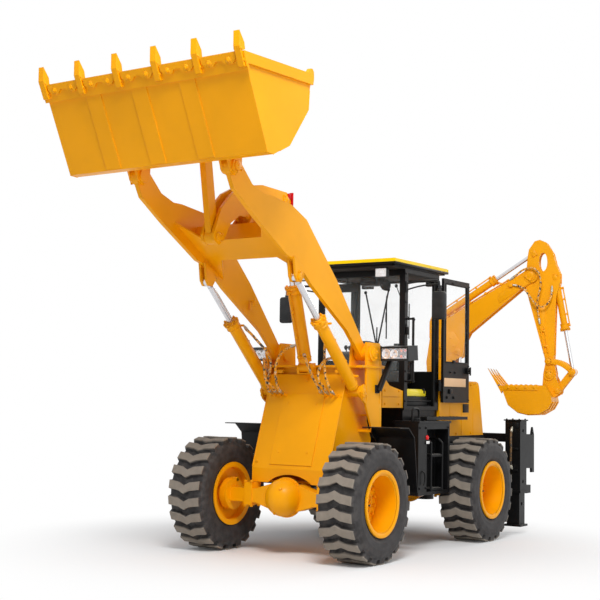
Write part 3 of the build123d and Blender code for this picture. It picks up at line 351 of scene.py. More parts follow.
@dataclass(frozen=True)
class Paint:
    """Sprayed paint: a little uneven, dusty on top and thin at the edges.

    Attributes:
        name: The material's name.
        colour: The paint's colour.
        worn: The colour that shows at worn edges.
        wear: How much of an edge is worn, 0 to 1.
        dust: How much dust lies on upward faces, 0 to 1.
        roughness: The paint's mean roughness.
        coat: Strength of the clear gloss.
        grain: Height of the spray's grain.
        sheen: Strength of its mirror reflection.
        slot: The record's material slot; not used.
    """

    name: str
    colour: Colour
    worn: Colour = paint(0.62, 0.52, 0.38)
    wear: float = 0.35
    dust: float = 0.12
    roughness: float = 0.36
    coat: float = 0.25
    grain: float = 0.0004
    sheen: float = 0.5
    slot: str = "yellow_paint"

    def build(self) -> bpy.types.Material:
        """Makes the material.

        Returns:
            The finished material.
        """
        graph = Graph(self.name)
        cloudy = graph.noise(1.7, 4)
        patchy = graph.noise(9, 6)
        fine = graph.noise(140, 2)
        runs = graph.noise(6, 4, graph.placed(scale=(5, 5, 0.6)))
        deeper = scaled(self.colour, 0.93)
        colour = graph.blend(cloudy.between(0.3, 0.7), deeper, scaled(self.colour, 1.02))
        colour = graph.blend(runs.between(0.55, 0.8) * 0.10, colour, deeper)
        dusty = graph.upward() * patchy.between(0.35, 0.75) * self.dust
        colour = graph.blend(dusty, colour, paint(0.62, 0.55, 0.45))
        rounded, edge = graph.edges(0.004)
        worn = edge * patchy.between(0.45, 0.62) * self.wear
        colour = graph.blend(worn, colour, self.worn)
        graph.set(Base_Color=colour, Coat_Weight=self.coat, Coat_Roughness=0.12,
                  Specular_IOR_Level=self.sheen,
                  Roughness=patchy * 0.18 + (self.roughness - 0.09) + dusty * 0.5)
        graph.bump(fine + cloudy * 0.5, 0.25, self.grain, rounded)
        return graph.material


@dataclass(frozen=True)
class Metal:
    """Bare or plated metal with fine scratches."""

    name: str
    colour: Colour
    roughness: float = 0.3
    grime: float = 0.2
    along: Sequence[float] = (1, 1, 1)
    slot: str = "grey_steel"

    def build(self) -> bpy.types.Material:
        """Makes the material.

        Returns:
            The finished material.
        """
        graph = Graph(self.name)
        scratches = graph.noise(90, 3, graph.placed(scale=self.along))
        patchy = graph.noise(14, 5)
        dirty = patchy.between(0.5, 0.75) * self.grime
        colour = graph.blend(dirty, self.colour, paint(0.25, 0.21, 0.17))
        rounded, edge = graph.edges(0.002)
        colour = graph.blend(edge * 0.4, colour, paint(0.86, 0.85, 0.82))
        graph.set(Base_Color=colour, Metallic=1 - dirty * 0.7,
                  Roughness=scratches * 0.16 + self.roughness + dirty * 0.3)
        graph.bump(scratches, 0.15, 0.0003, rounded)
        return graph.material


@dataclass(frozen=True)
class Plain:
    """Moulded plastic, vinyl, rubber trim or dull lining."""

    name: str
    colour: Colour
    roughness: float = 0.5
    grain_scale: float = 300.0
    grain: float = 0.0004
    dust: float = 0.15
    slot: str = "black_paint"
    sheen: float = 0.25

    def build(self) -> bpy.types.Material:
        """Makes the material.

        Returns:
            The finished material.
        """
        graph = Graph(self.name)
        patchy = graph.noise(11, 5)
        fine = graph.noise(self.grain_scale, 2)
        colour = graph.blend(patchy.between(0.3, 0.7), self.colour, scaled(self.colour, 1.3, 0.006))
        dusty = graph.upward() * patchy.between(0.35, 0.7) * self.dust
        colour = graph.blend(dusty, colour, paint(0.6, 0.55, 0.47))
        rounded, edge = graph.edges(0.003)
        colour = graph.blend(edge * 0.15, colour, paint(0.5, 0.48, 0.45))
        graph.set(Base_Color=colour, Roughness=patchy * 0.2 + (self.roughness - 0.1),
                  Specular_IOR_Level=self.sheen)
        graph.bump(fine, 0.3, self.grain, rounded)
        return graph.material


@dataclass(frozen=True)
class Glass:
    """Thin flat glass, lamp lenses and mirror faces."""

    name: str
    colour: Colour
    alpha: float = 0.035
    roughness: float = 0.03
    metallic: float = 0.0
    slot: str = "clear_glass"

    def build(self) -> bpy.types.Material:
        """Makes the material.

        Returns:
            The finished material.
        """
        graph = Graph(self.name)
        smears = graph.noise(7, 4).between(0.45, 0.8)
        graph.set(Base_Color=self.colour, Metallic=self.metallic, Roughness=smears * 0.12 + self.roughness,
                  Alpha=smears * 0.03 + self.alpha if self.alpha < 1 else 1.0)
        return graph.material


@dataclass(frozen=True)
class TyreRubber:
    """Black rubber about one wheel's axle, grey with dust where the lugs touch the ground."""

    corner: str
    slot: str = "tyre_rubber"

    def build(self) -> bpy.types.Material:
        """Makes the material.

        Returns:
            The finished material.
        """
        graph = Graph("rubber_" + self.corner)
        radius = graph.length(graph.placed(HUBS[self.corner], (1, 0, 1)))
        patchy = graph.noise(16, 6)
        fine = graph.noise(220, 3)
        top = radius.between(0.517, 0.532) * (patchy * 0.5 + 0.62)
        shoulder = radius.between(0.40, 0.52) * patchy.between(0.4, 0.7) * 0.3
        wrinkles = graph.node("ShaderNodeMath", {"operation": "SINE"}, {0: radius * 520.0}).outputs[0]
        side = radius.between(0.335, 0.35) * (1 - radius.between(0.435, 0.45))
        colour = graph.blend(patchy.between(0.3, 0.7), paint(0.14, 0.13, 0.13), paint(0.22, 0.21, 0.21))
        colour = graph.blend(shoulder, colour, paint(0.40, 0.38, 0.36))
        colour = graph.blend(top, colour, paint(0.56, 0.52, 0.47))
        rounded, edge = graph.edges(0.006)
        colour = graph.blend(edge * top * 0.35, colour, paint(0.62, 0.60, 0.56))
        graph.set(Base_Color=colour, Roughness=patchy * 0.2 + 0.62)
        graph.bump(fine * 0.4 + Value(graph, wrinkles) * side * 0.35, 0.6, 0.0014, rounded)
        return graph.material


@dataclass(frozen=True)
class HoseRubber:
    """Hydraulic hose: black rubber with overspray and pale scuffs."""

    name: str = "hose_rubber"
    base: Colour = paint(0.13, 0.12, 0.11)
    spray: Colour = paint(0.97, 0.66, 0.05)
    sprayed: float = 0.92
    slot: str = "tyre_rubber"

    def build(self) -> bpy.types.Material:
        """Makes the material.

        Returns:
            The finished material.
        """
        graph = Graph(self.name)
        blots = graph.noise(38, 4)
        scuffs = graph.noise(75, 3)
        ribs = graph.noise(400, 1)
        colour = graph.blend(blots.between(0.40, 0.50) * self.sprayed, self.base, self.spray)
        colour = graph.blend(scuffs.between(0.54, 0.62) * 0.8 * self.sprayed, colour, paint(0.90, 0.84, 0.72))
        graph.set(Base_Color=colour, Roughness=scuffs * 0.2 + 0.45)
        graph.bump(ribs, 0.4, 0.0006)
        return graph.material


class Coat(Enum):
    """Every finish on the machine."""

    YELLOW = Paint("yellow_paint", paint(0.985, 0.665, 0.01), dust=0.03, coat=0.05, sheen=0.16)
    # Painted highlight: the roof's paint is a paler, lemon copy of the body yellow that stands for light
    # falling on the roof rim.
    ROOF = Paint("roof_painted_highlight", paint(1.0, 0.84, 0.01), wear=0.15, dust=0.05, coat=0.05, sheen=0.16)
    SILL = Paint("sill_paint", paint(1.0, 0.90, 0.05), wear=0.15)
    BLACK = Paint("black_paint", paint(0.055, 0.056, 0.06), paint(0.26, 0.26, 0.26), 0.3, 0.06, 0.42, 0.05,
                  0.0004, 0.18, "black_paint")
    FLOOR_MAT = Plain("floor_mat", paint(0.12, 0.12, 0.12), 0.7, 90, 0.001)
    HEADLINER = Plain("headliner", paint(0.20, 0.19, 0.18), 0.8, 160, 0.0008)
    PLASTIC = Plain("black_plastic", paint(0.12, 0.125, 0.13), 0.42)
    DIAL = Plain("dial_white", paint(0.86, 0.86, 0.83), 0.4)
    GASKET = Plain("rubber_gasket", paint(0.09, 0.09, 0.09), 0.65)
    SEAT = Plain("seat_vinyl", paint(0.075, 0.075, 0.08), 0.5, 420, 0.0005, 0.1, "seat_cover")
    IRON = Paint("engine_iron", paint(0.40, 0.42, 0.43), wear=0.2, roughness=0.5, coat=0.05,
                 slot="engine_iron")
    CHROME = Metal("rod_chrome", paint(0.86, 0.86, 0.87), 0.10, 0.06, (1, 1, 1), "rod_chrome")
    STEEL = Metal("bare_steel", paint(0.60, 0.59, 0.57), 0.34, 0.35)
    ZINC = Metal("zinc_bolts", paint(0.74, 0.72, 0.66), 0.3, 0.3)
    DRUM = Metal("drum_iron", paint(0.36, 0.36, 0.37), 0.5, 0.5)
    REFLECTOR = Metal("reflector", paint(0.93, 0.93, 0.94), 0.06, 0.05)
    GLASS = Glass("clear_glass", paint(0.86, 0.92, 0.93))
    LENS = Glass("lamp_lens", paint(0.97, 0.98, 1.0), 0.22, 0.05)
    MIRROR = Glass("mirror_glass", paint(0.92, 0.94, 0.96), 1.0, 0.02, 1.0)
    RED = Plain("red_plastic", paint(0.85, 0.06, 0.07), 0.3, 200, 0.0002, 0.05)
    ORANGE = Plain("orange_plastic", paint(0.95, 0.40, 0.06), 0.3, 200, 0.0002, 0.05)
    WHITE = Plain("white_plastic", paint(0.92, 0.92, 0.90), 0.35)
    RED_PAINT = Paint("red_paint", paint(0.76, 0.03, 0.06), paint(0.55, 0.25, 0.22), coat=0.05, sheen=0.2)
    PLATE = Paint("bare_plate", paint(0.93, 0.76, 0.58), paint(0.6, 0.5, 0.4), 0.3, 0.1, 0.45, 0.05)
    HOSE = HoseRubber()
    BLACK_HOSE = HoseRubber("black_hose", sprayed=0.12)


def finish_of(coat: "Coat | TyreRubber") -> Any:
    """The finish that an option or a tyre's rubber stands for."""
    return coat.value if isinstance(coat, Coat) else coat


@cache
def material_of(coat: "Coat | TyreRubber") -> bpy.types.Material:
    """The material of a finish, made once."""
    return finish_of(coat).build()


NODE_COATS: dict[Coat, str] = {
    Coat.BLACK: "rear_frame cab_frame step_boxes slide_frame front_fenders door_left leg_left leg_right "
                "hoe_carriage",
    Coat.DRUM: "driveline",
    Coat.IRON: "engine_block",
    Coat.GLASS: "cab_glass door_glass",
    # The cab roof takes the painted-highlight yellow, a lit copy of the body yellow.
    Coat.ROOF: "cab_roof",
    Coat.SEAT: "seat",
    Coat.PLASTIC: "steering_console mirrors headlamps",
    Coat.STEEL: "tilt_piston",
    Coat.CHROME: "lift_rods tilt_rod boom_rod stick_rod curl_rod",
    Coat.YELLOW: "rear_axle engine_hood cab_cowl front_frame front_cover front_axle loader_arms rocker "
                 "bucket_link loader_bucket bucket_teeth lift_barrels tilt_barrel swing_post hoe_boom "
                 "boom_barrel hoe_stick stick_barrel hoe_bucket hoe_lever hoe_link curl_barrel",
}


def shown(name: str, data: bpy.types.ID) -> bpy.types.Object:
    """Adds an object to the scene.

    Args:
        name: Its name.
        data: Its mesh, light or camera.

    Returns:
        The object, at the origin.
    """
    made = bpy.data.objects.new(name, data)
    bpy.context.scene.collection.objects.link(made)
    return made


def dress(node: str, coat: "Coat | TyreRubber") -> None:
    """Gives a carried CAD node its finish.

    Args:
        node: The node's name.
        coat: Its finish.
    """
    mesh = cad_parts[node].data
    for index in range(len(mesh.materials)):
        mesh.materials[index] = material_of(coat)


def along(first: Flat, last: Flat, distance: float, across: float = 0.0) -> Flat:
    """A point of a side profile, a distance from first towards last and shifted across.

    Args:
        first: The point that the distance starts at.
        last: The point that it runs to.
        distance: How far along.
        across: How far to the left of that way.

    Returns:
        The point.
    """
    length = math.hypot(last[0] - first[0], last[1] - first[1])
    ux, uz = (last[0] - first[0]) / length, (last[1] - first[1]) / length
    return (first[0] + ux * distance - uz * across, first[1] + uz * distance + ux * across)


def beside(first: Flat, last: Flat, distance: float, across: float, y: float) -> Vector:
    """The point that `along` gives, at a place across the machine."""
    x, z = along(first, last, distance, across)
    return Vector((x, y, z))


class Form:
    """A mesh in the making, drawn in a station's own coordinates."""

    def __init__(self, station: Station = MACHINE) -> None:
        """Starts an empty form at a station."""
        self.mesh = bmesh.new()
        self.station = station

    def keep(self, part: bmesh.types.BMesh, place: Matrix = Matrix()) -> None:
        """Adds a finished part.

        Args:
            part: The part's mesh, which is used up.
            place: Where it goes in the station.
        """
        bmesh.ops.transform(part, matrix=place, verts=part.verts)
        scratch = bpy.data.meshes.new("scratch")
        part.to_mesh(scratch)
        part.free()
        self.mesh.from_mesh(scratch)
        bpy.data.meshes.remove(scratch)

    @staticmethod
    def soften(part: bmesh.types.BMesh, width: float) -> None:
        """Rounds the sharp edges of a part.

        Args:
            part: The part's mesh.
            width: How wide the rounding is, or 0 for none.
        """
        bmesh.ops.recalc_face_normals(part, faces=part.faces)
        sharp = [e for e in part.edges if len(e.link_faces) == 2 and e.calc_face_angle(0) > 0.6]
        if width > 0 and sharp:
            bmesh.ops.bevel(part, geom=sharp, offset=width, segments=2, affect="EDGES", profile=0.5,
                            material=-1, clamp_overlap=True)

    def box(self, x: Flat, y: Flat, z: Flat, soft: float = 0.003, turn: Point = (0, 0, 0)) -> None:
        """A box between limits, with rounded edges, turned in degrees about its middle.

        Args:
            x: Its limits along x.
            y: Its limits along y.
            z: Its limits along z.
            soft: The rounding of its edges.
            turn: Its turns about its middle, in degrees.
        """
        part = bmesh.new()
        bmesh.ops.create_cube(part, size=1.0)
        size = Vector([abs(pair[1] - pair[0]) for pair in (x, y, z)])
        bmesh.ops.scale(part, vec=size, verts=part.verts)
        self.soften(part, min(soft, min(size) * 0.45))
        middle = Vector([(pair[0] + pair[1]) / 2 for pair in (x, y, z)])
        spin = Euler([math.radians(a) for a in turn]).to_matrix().to_4x4()
        self.keep(part, Matrix.Translation(middle) @ spin)

    def block(self, middle: Point, size: Point, soft: float = 0.003, turn: Point = (0, 0, 0)) -> None:
        """A box about its middle, with rounded edges."""
        self.box(*[(m - s / 2, m + s / 2) for m, s in zip(middle, size)], soft, turn)

    def sides(self, x: Flat, y: Flat, z: Flat, soft: float = 0.003) -> None:
        """The same box on both sides, its limits along y given for the left."""
        for hand in HANDS:
            self.box(x, (hand * y[0], hand * y[1]), z, soft)

    def border(self, level: Flat, wide: Flat, high: Flat, half: float, soft: float = 0.004,
               side: bool = False) -> None:
        """Four bars round a rectangle.

        Args:
            level: Where it lies along x, or along y when it faces sideways.
            wide: Its limits along y, or along x when it faces sideways.
            high: Its limits along z.
            half: Half the width of a bar.
            soft: The rounding of its edges.
            side: Whether it faces sideways.
        """
        bars = [(wide, (z - half, z + half)) for z in high] + [((w - half, w + half), high) for w in wide]
        for width, height in bars:
            self.box(*((width, level) if side else (level, width)), height, soft)

    def rod(self, first: Point, last: Point, radius: float, sides: int = 20, soft: float = 0.002) -> None:
        """A round bar between two points.

        Args:
            first: The middle of its first end.
            last: The middle of its last end.
            radius: Its radius.
            sides: How many sides it has.
            soft: The rounding of its ends.
        """
        start, end = Vector(first), Vector(last)
        part = bmesh.new()
        bmesh.ops.create_cone(part, cap_ends=True, segments=sides, radius1=radius, radius2=radius,
                              depth=(end - start).length)
        if soft > 0:
            self.soften(part, min(soft, radius * 0.3))
        turn = (end - start).to_track_quat("Z", "Y").to_matrix().to_4x4()
        self.keep(part, Matrix.Translation((start + end) / 2) @ turn)

    def bar(self, pin: Flat, y: Flat, radius: float, sides: int = 20, soft: float = 0.002) -> None:
        """A round bar across the machine at a point of the side profile."""
        self.rod((pin[0], y[0], pin[1]), (pin[0], y[1], pin[1]), radius, sides, soft)

    def seam(self, first: Flat, last: Flat, y: float, radius: float = 0.005) -> None:
        """A weld seam along a line of the side profile."""
        self.rod((first[0], y, first[1]), (last[0], y, last[1]), radius, 8, 0)

    def button(self, place: Point, axis: Point, shape: Sequence[float], sides: int = 20) -> None:
        """A low knob. Its shape is its height, its top's radius and height, and its foot's radius."""
        high, top, shoulder, foot = shape
        self.turned([(0.0, high), (top, shoulder), (foot, 0.0), (0.0, 0.0)], place, axis, sides)

    def turned(self, profile: Sequence[Flat], centre: Point, axis: Point, sides: int = 32) -> None:
        """A shape spun from a profile of radius and height pairs about an axis.

        Args:
            profile: Radius and height of each point, from one end to the other.
            centre: The place of radius 0 and height 0.
            axis: The way that its height runs.
            sides: How many sides it has.
        """
        part = bmesh.new()
        points = [part.verts.new((radius, 0, height)) for radius, height in profile]
        edges = [part.edges.new(pair) for pair in zip(points, points[1:])]
        bmesh.ops.spin(part, geom=points + edges, cent=(0, 0, 0), axis=(0, 0, 1), angle=2 * math.pi,
                       steps=sides, use_merge=True)
        bmesh.ops.remove_doubles(part, verts=part.verts, dist=1e-5)
        bmesh.ops.recalc_face_normals(part, faces=part.faces)
        turn = Vector(axis).to_track_quat("Z", "Y").to_matrix().to_4x4()
        self.keep(part, Matrix.Translation(centre) @ turn)

    def plate(self, outline: Sequence[Flat], y: float, thickness: float, soft: float = 0.002) -> None:
        """A side profile, x and z, thickened evenly about y.

        Args:
            outline: The corners in order, x and z.
            y: The middle of its thickness.
            thickness: Its thickness.
            soft: The rounding of its edges.
        """
        part = bmesh.new()
        points = [part.verts.new((x, y - thickness / 2, z)) for x, z in outline]
        face = part.faces.new(points)
        grown = bmesh.ops.extrude_face_region(part, geom=[face])
        moved = [v for v in grown["geom"] if isinstance(v, bmesh.types.BMVert)]
        bmesh.ops.translate(part, vec=(0, thickness, 0), verts=moved)
        self.soften(part, min(soft, thickness * 0.4))
        self.keep(part)

    def slab(self, outline: Sequence[Point], depth: Point, soft: float = 0.002) -> None:
        """A flat outline of points, thickened evenly along a vector.

        Args:
            outline: The corners in order.
            depth: Its thickness as a vector.
            soft: The rounding of its edges.
        """
        part = bmesh.new()
        face = part.faces.new([part.verts.new(p) for p in outline])
        grown = bmesh.ops.extrude_face_region(part, geom=[face])
        moved = [v for v in grown["geom"] if isinstance(v, bmesh.types.BMVert)]
        bmesh.ops.translate(part, vec=depth, verts=moved)
        bmesh.ops.translate(part, vec=Vector(depth) / -2, verts=part.verts)
        self.soften(part, soft)
        self.keep(part)

    def pipe(self, route: Sequence[Point], radius: float, sides: int = 2) -> None:
        """A bent tube along a route, its corners rounded.

        Args:
            route: The points that steer it.
            radius: Its outer radius.
            sides: Blender's bevel resolution round it.
        """
        part = bmesh.new()
        tube = route_mesh(route, radius, sides)
        part.from_mesh(tube)
        bpy.data.meshes.remove(tube)
        bmesh.ops.remove_doubles(part, verts=part.verts, dist=1e-6)
        bmesh.ops.recalc_face_normals(part, faces=part.faces)
        self.keep(part)

    def bolt(self, place: Point, axis: Point, size: float = 0.012, height: float = 0.008) -> None:
        """A hexagon head on a washer.

        Args:
            place: The middle of its seat.
            axis: The way that it points.
            size: The head's radius.
            height: The head's height.
        """
        start, way = Vector(place), Vector(axis).normalized()
        self.rod(start, start + way * 0.003, size * 1.35, 12, 0)
        self.rod(start + way * 0.003, start + way * (0.003 + height), size, 6, 0.0015)

    def bolts(self, places: Iterable[Point], axis: Point, size: float = 0.012,
              height: float = 0.008) -> None:
        """Bolts at several places, facing one way."""
        for place in places:
            self.bolt(place, axis, size, height)

    def ring_of_bolts(self, centre: Point, axis: Point, radius: float, count: int, size: float = 0.012,
                      height: float = 0.01, start: float = 0.0) -> None:
        """Bolts round a flange.

        Args:
            centre: The flange's middle.
            axis: The way that they point.
            radius: Their circle's radius.
            count: How many there are.
            size: A head's radius.
            height: A head's height.
            start: The first one's angle.
        """
        turn = Vector(axis).to_track_quat("Z", "Y")
        for number in range(count):
            angle = start + 2 * math.pi * number / count
            arm = turn @ Vector((radius * math.cos(angle), radius * math.sin(angle), 0))
            self.bolt(Vector(centre) + arm, axis, size, height)

    def finish(self, name: str, body: str, coat: Coat, smooth: float = 38.0) -> bpy.types.Object:
        """Makes the piece.

        Args:
            name: The piece's name.
            body: The body that it rides on.
            coat: Its finish.
            smooth: Edges sharper than this many degrees stay sharp.

        Returns:
            The object, at the origin.
        """
        bmesh.ops.transform(self.mesh, matrix=self.station.matrix(), verts=self.mesh.verts)
        mesh = bpy.data.meshes.new(name)
        self.mesh.to_mesh(mesh)
        self.mesh.free()
        mesh.shade_smooth()
        mesh.set_sharp_from_angle(angle=math.radians(smooth))
        mesh.materials.append(material_of(coat))
        made = shown(name, mesh)
        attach(made, body)
        LOG.info("%s on %s: %d faces", name, body, len(mesh.polygons))
        return made


def route_mesh(route: Sequence[Point], radius: float = 0.0, sides: int = 0) -> bpy.types.Mesh:
    """A smooth line along a route, or a closed tube round that line.

    Args:
        route: The points that steer it.
        radius: The tube's outer radius, or 0 for the line.
        sides: Blender's bevel resolution round the tube.

    Returns:
        The mesh.
    """
    curve = bpy.data.curves.new("route", "CURVE")
    curve.dimensions = "3D"
    spline = curve.splines.new("NURBS")
    spline.points.add(len(route) - 1)
    for point, place in zip(spline.points, route):
        point.co = (*place, 1.0)
    spline.order_u = 3
    spline.use_endpoint_u = True
    spline.resolution_u = 6
    if radius > 0:
        curve.bevel_depth = radius
        curve.bevel_resolution = sides
        curve.use_fill_caps = True
    holder = bpy.data.objects.new("route", curve)
    mesh = bpy.data.meshes.new_from_object(holder)
    bpy.data.objects.remove(holder)
    bpy.data.curves.remove(curve)
    return mesh


@dataclass
class Wheels:
    """Flanges, bolts and valves of the four wheels.

    Attributes:
        disc: How far a rim's disc lies inside the wheel's middle plane.
        rings: Profile, height over the disc and sides of each turned ring.
        bolts: Height over the disc, circle, count, head radius, head height and first angle.
    """

    disc: float = 0.084
    rings: tuple[tuple[tuple[Flat, ...], float, int], ...] = (
        (((0.0, 0.068), (0.05, 0.066), (0.062, 0.055), (0.066, 0.03), (0.142, 0.03), (0.148, 0.024),
          (0.148, 0.0)), 0.03, 40),
        (((0.162, -0.020), (0.162, 0.010), (0.170, 0.016), (0.255, 0.016), (0.270, 0.006), (0.2985, -0.008),
          (0.2985, -0.020)), 0.045, 56),
        (((0.262, 0.0), (0.272, 0.008), (0.285, 0.010), (0.2995, 0.006), (0.3, 0.0)), 0.273, 64),
    )
    bolts: tuple[tuple[float, ...], ...] = (
        (0.060, 0.125, 12, 0.010, 0.014, 0.0), (0.059, 0.20, 16, 0.015, 0.022, 0.2),
        (0.058, 0.240, 24, 0.006, 0.006, 0.1))

    def build(self) -> None:
        """Dresses the wheels and makes their small pieces."""
        for corner, hub in HUBS.items():
            hand = 1.0 if corner.endswith("left") else -1.0
            dress("tyre_" + corner, TyreRubber(corner))
            dress("rim_" + corner, Coat.YELLOW)
            station, out = Station(hub, Vector((1, 0, 0))), (0, hand, 0)
            form = Form(station)
            for profile, height, sides in self.rings:
                form.turned(profile, (0, hand * (height - self.disc), 0), out, sides)
            for height, *circle in self.bolts:
                form.ring_of_bolts((0, hand * (height - self.disc), 0), out, *circle)
            form.finish("hub_" + corner, "wheel_" + corner, Coat.YELLOW)
            valve = Form(station)
            valve.rod((0.235, hand * 0.12, 0.0), (0.226, hand * 0.175, 0.0), 0.006, 10)
            valve.rod((0.226, hand * 0.175, 0.0), (0.223, hand * 0.19, 0.0), 0.008, 10)
            valve.finish("valve_" + corner, "wheel_" + corner, Coat.PLASTIC)


@dataclass
class PinCaps:
    """Chamfered caps, keeper plates and bolts on the ends of the pins.

    Attributes:
        rows: Body, station, pin, outer face, cap radius and the keeper's direction in degrees. Each row
            is made on both sides of the station's middle plane.
    """

    rows: tuple[tuple[str, Station, Flat, float, float, float], ...] = (
        ("front_half", MACHINE, ARM_PIVOT, 0.605, 0.044, 200.0),
        ("front_half", MACHINE, LIFT_BASE, 0.580, 0.036, 250.0),
        ("front_half", MACHINE, TILT_BASE, 0.073, 0.030, 300.0),
        ("arms", MACHINE, LIFT_PIN, 0.530, 0.034, 120.0),
        ("arms", MACHINE, ROCKER_PIN, 0.095, 0.044, 60.0),
        ("bucket", MACHINE, BUCKET_PIN, 0.558, 0.042, 250.0),
        ("bucket", MACHINE, LINK_PIN, 0.068, 0.036, 300.0),
        ("rocker", MACHINE, ROCKER_HIGH, 0.072, 0.038, 10.0),
        ("rocker", MACHINE, ROCKER_LOW, 0.072, 0.038, 190.0),
        ("post", HOE, BOOM_FOOT, 0.119, 0.040, 290.0),
        ("post", HOE, BOOM_BASE, 0.112, 0.030, 180.0),
        ("boom", HOE, BOOM_EYE, 0.085, 0.032, 250.0),
        ("boom", HOE, STICK_BASE, 0.065, 0.028, 200.0),
        ("boom", HOE, STICK_PIN, 0.102, 0.044, 230.0),
        ("stick", HOE, STICK_EYE, 0.065, 0.032, 300.0),
        ("stick", HOE, CURL_BASE, 0.065, 0.030, 80.0),
        ("hoe_lever", HOE, LEVER_PIN, 0.088, 0.030, 100.0),
        ("hoe_lever", HOE, CURL_EYE, 0.088, 0.030, 190.0),
        ("hoe_bucket", HOE, HOE_PIN, 0.127, 0.036, 90.0),
        ("hoe_bucket", HOE, HOE_LINK_PIN, 0.116, 0.030, 340.0),
    )

    def build(self) -> None:
        """Makes one piece of caps for each body."""
        forms: dict[str, Form] = {}
        for body, station, pin, face, radius, way in self.rows:
            form = forms.setdefault(body, Form(station))
            for hand in HANDS:
                self.cap(form, (pin[0], hand * face, pin[1]), hand, radius, math.radians(way))
        for body, form in forms.items():
            form.finish("pin_caps_" + body, body, Coat.YELLOW)

    @staticmethod
    def cap(form: Form, centre: Point, out: float, radius: float, way: float) -> None:
        """Makes a cap with its keeper plate.

        Args:
            form: The form that takes it.
            centre: The middle of the face that it lies on.
            out: The hand that it faces.
            radius: The cap's radius.
            way: The keeper's direction in the side profile.
        """
        form.turned([(0.0, 0.016), (0.008, 0.016), (0.009, 0.011), (radius * 0.8, 0.011), (radius, 0.007),
                     (radius, 0.0), (0.0, 0.0)], centre, (0, out, 0), 28)
        across = Vector((math.cos(way), 0, math.sin(way)))
        ahead = Vector((-math.sin(way), 0, math.cos(way)))
        middle = Vector(centre) + across * radius * 1.05 + Vector((0, out * 0.004, 0))
        long, wide = radius * 1.05, radius * 0.36
        corners = [middle + ahead * a * long + across * b * wide
                   for a, b in ((-1, -1), (1, -1), (1, 1), (-1, 1))]
        form.slab(corners, (0, 0.008, 0), 0.0015)
        for share in (-0.62, 0.62):
            place = middle + ahead * share * long + across * 0.3 * wide + Vector((0, out * 0.004, 0))
            form.bolt(place, (0, out, 0), radius * 0.2, 0.006)


@dataclass
class Cylinder:
    """The gland, ports, pipe and clamps of one hydraulic cylinder.

    Attributes:
        name: The cylinder's name.
        body: The barrel's body.
        station: Where its side profile is drawn.
        base: Its base pin.
        eye: Its rod's eye.
        length: How far its barrel reaches from the base pin.
        radius: The barrel's outer radius.
        rod: The rod's radius.
        side: Which way its ports face in the side profile, 1 for the left of base to eye.
        offsets: Where its barrels lie across the machine.
        port_back: How far the far port lies from the barrel's end.
        port_half: Half the width of a port block.
        collar: How far the gland's ring stands out.
    """

    name: str
    body: str
    station: Station
    base: Flat
    eye: Flat
    length: float
    radius: float
    rod: float
    side: float = 1.0
    offsets: tuple[float, ...] = (0.0,)
    port_back: float = 0.045
    port_half: float = 0.02
    collar: float = 0.010

    def spot(self, distance: float, across: float, y: float) -> Vector:
        """A point beside the barrel's axis."""
        return beside(self.base, self.eye, distance, across, y)

    def build(self) -> None:
        """Makes the gland piece and the pipe piece."""
        gland, pipe = Form(self.station), Form(self.station)
        axis = self.spot(1, 0, 0) - self.spot(0, 0, 0)
        for y in self.offsets:
            self.gland(gland, y, axis)
            self.piping(gland, pipe, y)
        gland.finish(self.name + "_glands", self.body, Coat.YELLOW)
        pipe.finish(self.name + "_pipes", self.body, Coat.YELLOW)

    def gland(self, form: Form, y: float, axis: Vector) -> None:
        """Makes a gland ring with its crown of bolts, the rod's wiper and the base's weld.

        Args:
            form: The form that takes them.
            y: The barrel's place across the machine.
            axis: The way from base to eye.
        """
        outer, tube, rod = self.radius + 0.0105, self.radius, self.rod
        proud = outer + self.collar
        for profile, distance, sides in (
                (((tube + 0.006, 0.0), (proud, 0.002), (proud, 0.020), (outer + 0.001, 0.022)),
                 self.length - 0.024, 40),
                (((outer, 0.0), (outer + 0.004, 0.003), (outer + 0.004, 0.011), (outer, 0.014)),
                 self.length - 0.072, 40),
                (((rod + 0.0015, 0.0), (rod + 0.014, 0.0), (rod + 0.012, 0.010), (rod + 0.0015, 0.012)),
                 self.length + 0.0005, 36),
                (((tube + 0.0005, 0.0), (tube + 0.005, 0.004), (tube + 0.0005, 0.008)), 0.10, 36)):
            form.turned(profile, self.spot(distance, 0, y), axis, sides)
        form.ring_of_bolts(self.spot(self.length - 0.001, 0, y), axis, outer + 0.001, 8, 0.010, 0.012)

    def piping(self, form: Form, pipe: Form, y: float) -> None:
        """Makes the two port blocks, the pipe between them and its clamps.

        Args:
            form: The form that takes the blocks and clamps.
            pipe: The form that takes the pipe.
            y: The barrel's place across the machine.
        """
        reach = self.radius + 0.022
        start, end = 0.13, self.length - self.port_back
        half = Vector((0, self.port_half, 0))
        for distance in (start, end):
            port = self.spot(distance, self.side * reach, y)
            form.rod(self.spot(distance, self.side * self.radius * 0.8, y),
                     self.spot(distance, self.side * (reach + 0.010), y), 0.015, 16)
            form.rod(port - half, port + half, 0.011, 6)
        pipe.rod(self.spot(start, self.side * reach, y), self.spot(end, self.side * reach, y), 0.008, 14)
        for share in (0.3, 0.7):
            middle = self.spot(start + (end - start) * share, self.side * (reach - 0.006), y)
            form.block(middle, (0.026, 0.026, 0.026))


CYLINDERS = (
    Cylinder("lift", "lift_barrels", MACHINE, LIFT_BASE, LIFT_PIN, 0.93, 0.055, 0.030, 1.0,
             (ARM_Y, -ARM_Y), 0.12, 0.055),
    Cylinder("tilt", "tilt_barrel", MACHINE, TILT_BASE, ROCKER_HIGH, 0.80, 0.065, 0.034, -1.0),
    Cylinder("boom", "boom_barrel", HOE, BOOM_BASE, BOOM_EYE, 0.76, 0.052, 0.028, -1.0, port_back=0.10,
             collar=0.002),
    Cylinder("stick", "stick_barrel", HOE, STICK_BASE, STICK_EYE, 0.88, 0.042, 0.024),
    Cylinder("curl", "curl_barrel", HOE, CURL_BASE, CURL_EYE, 0.62, 0.038, 0.022),
)


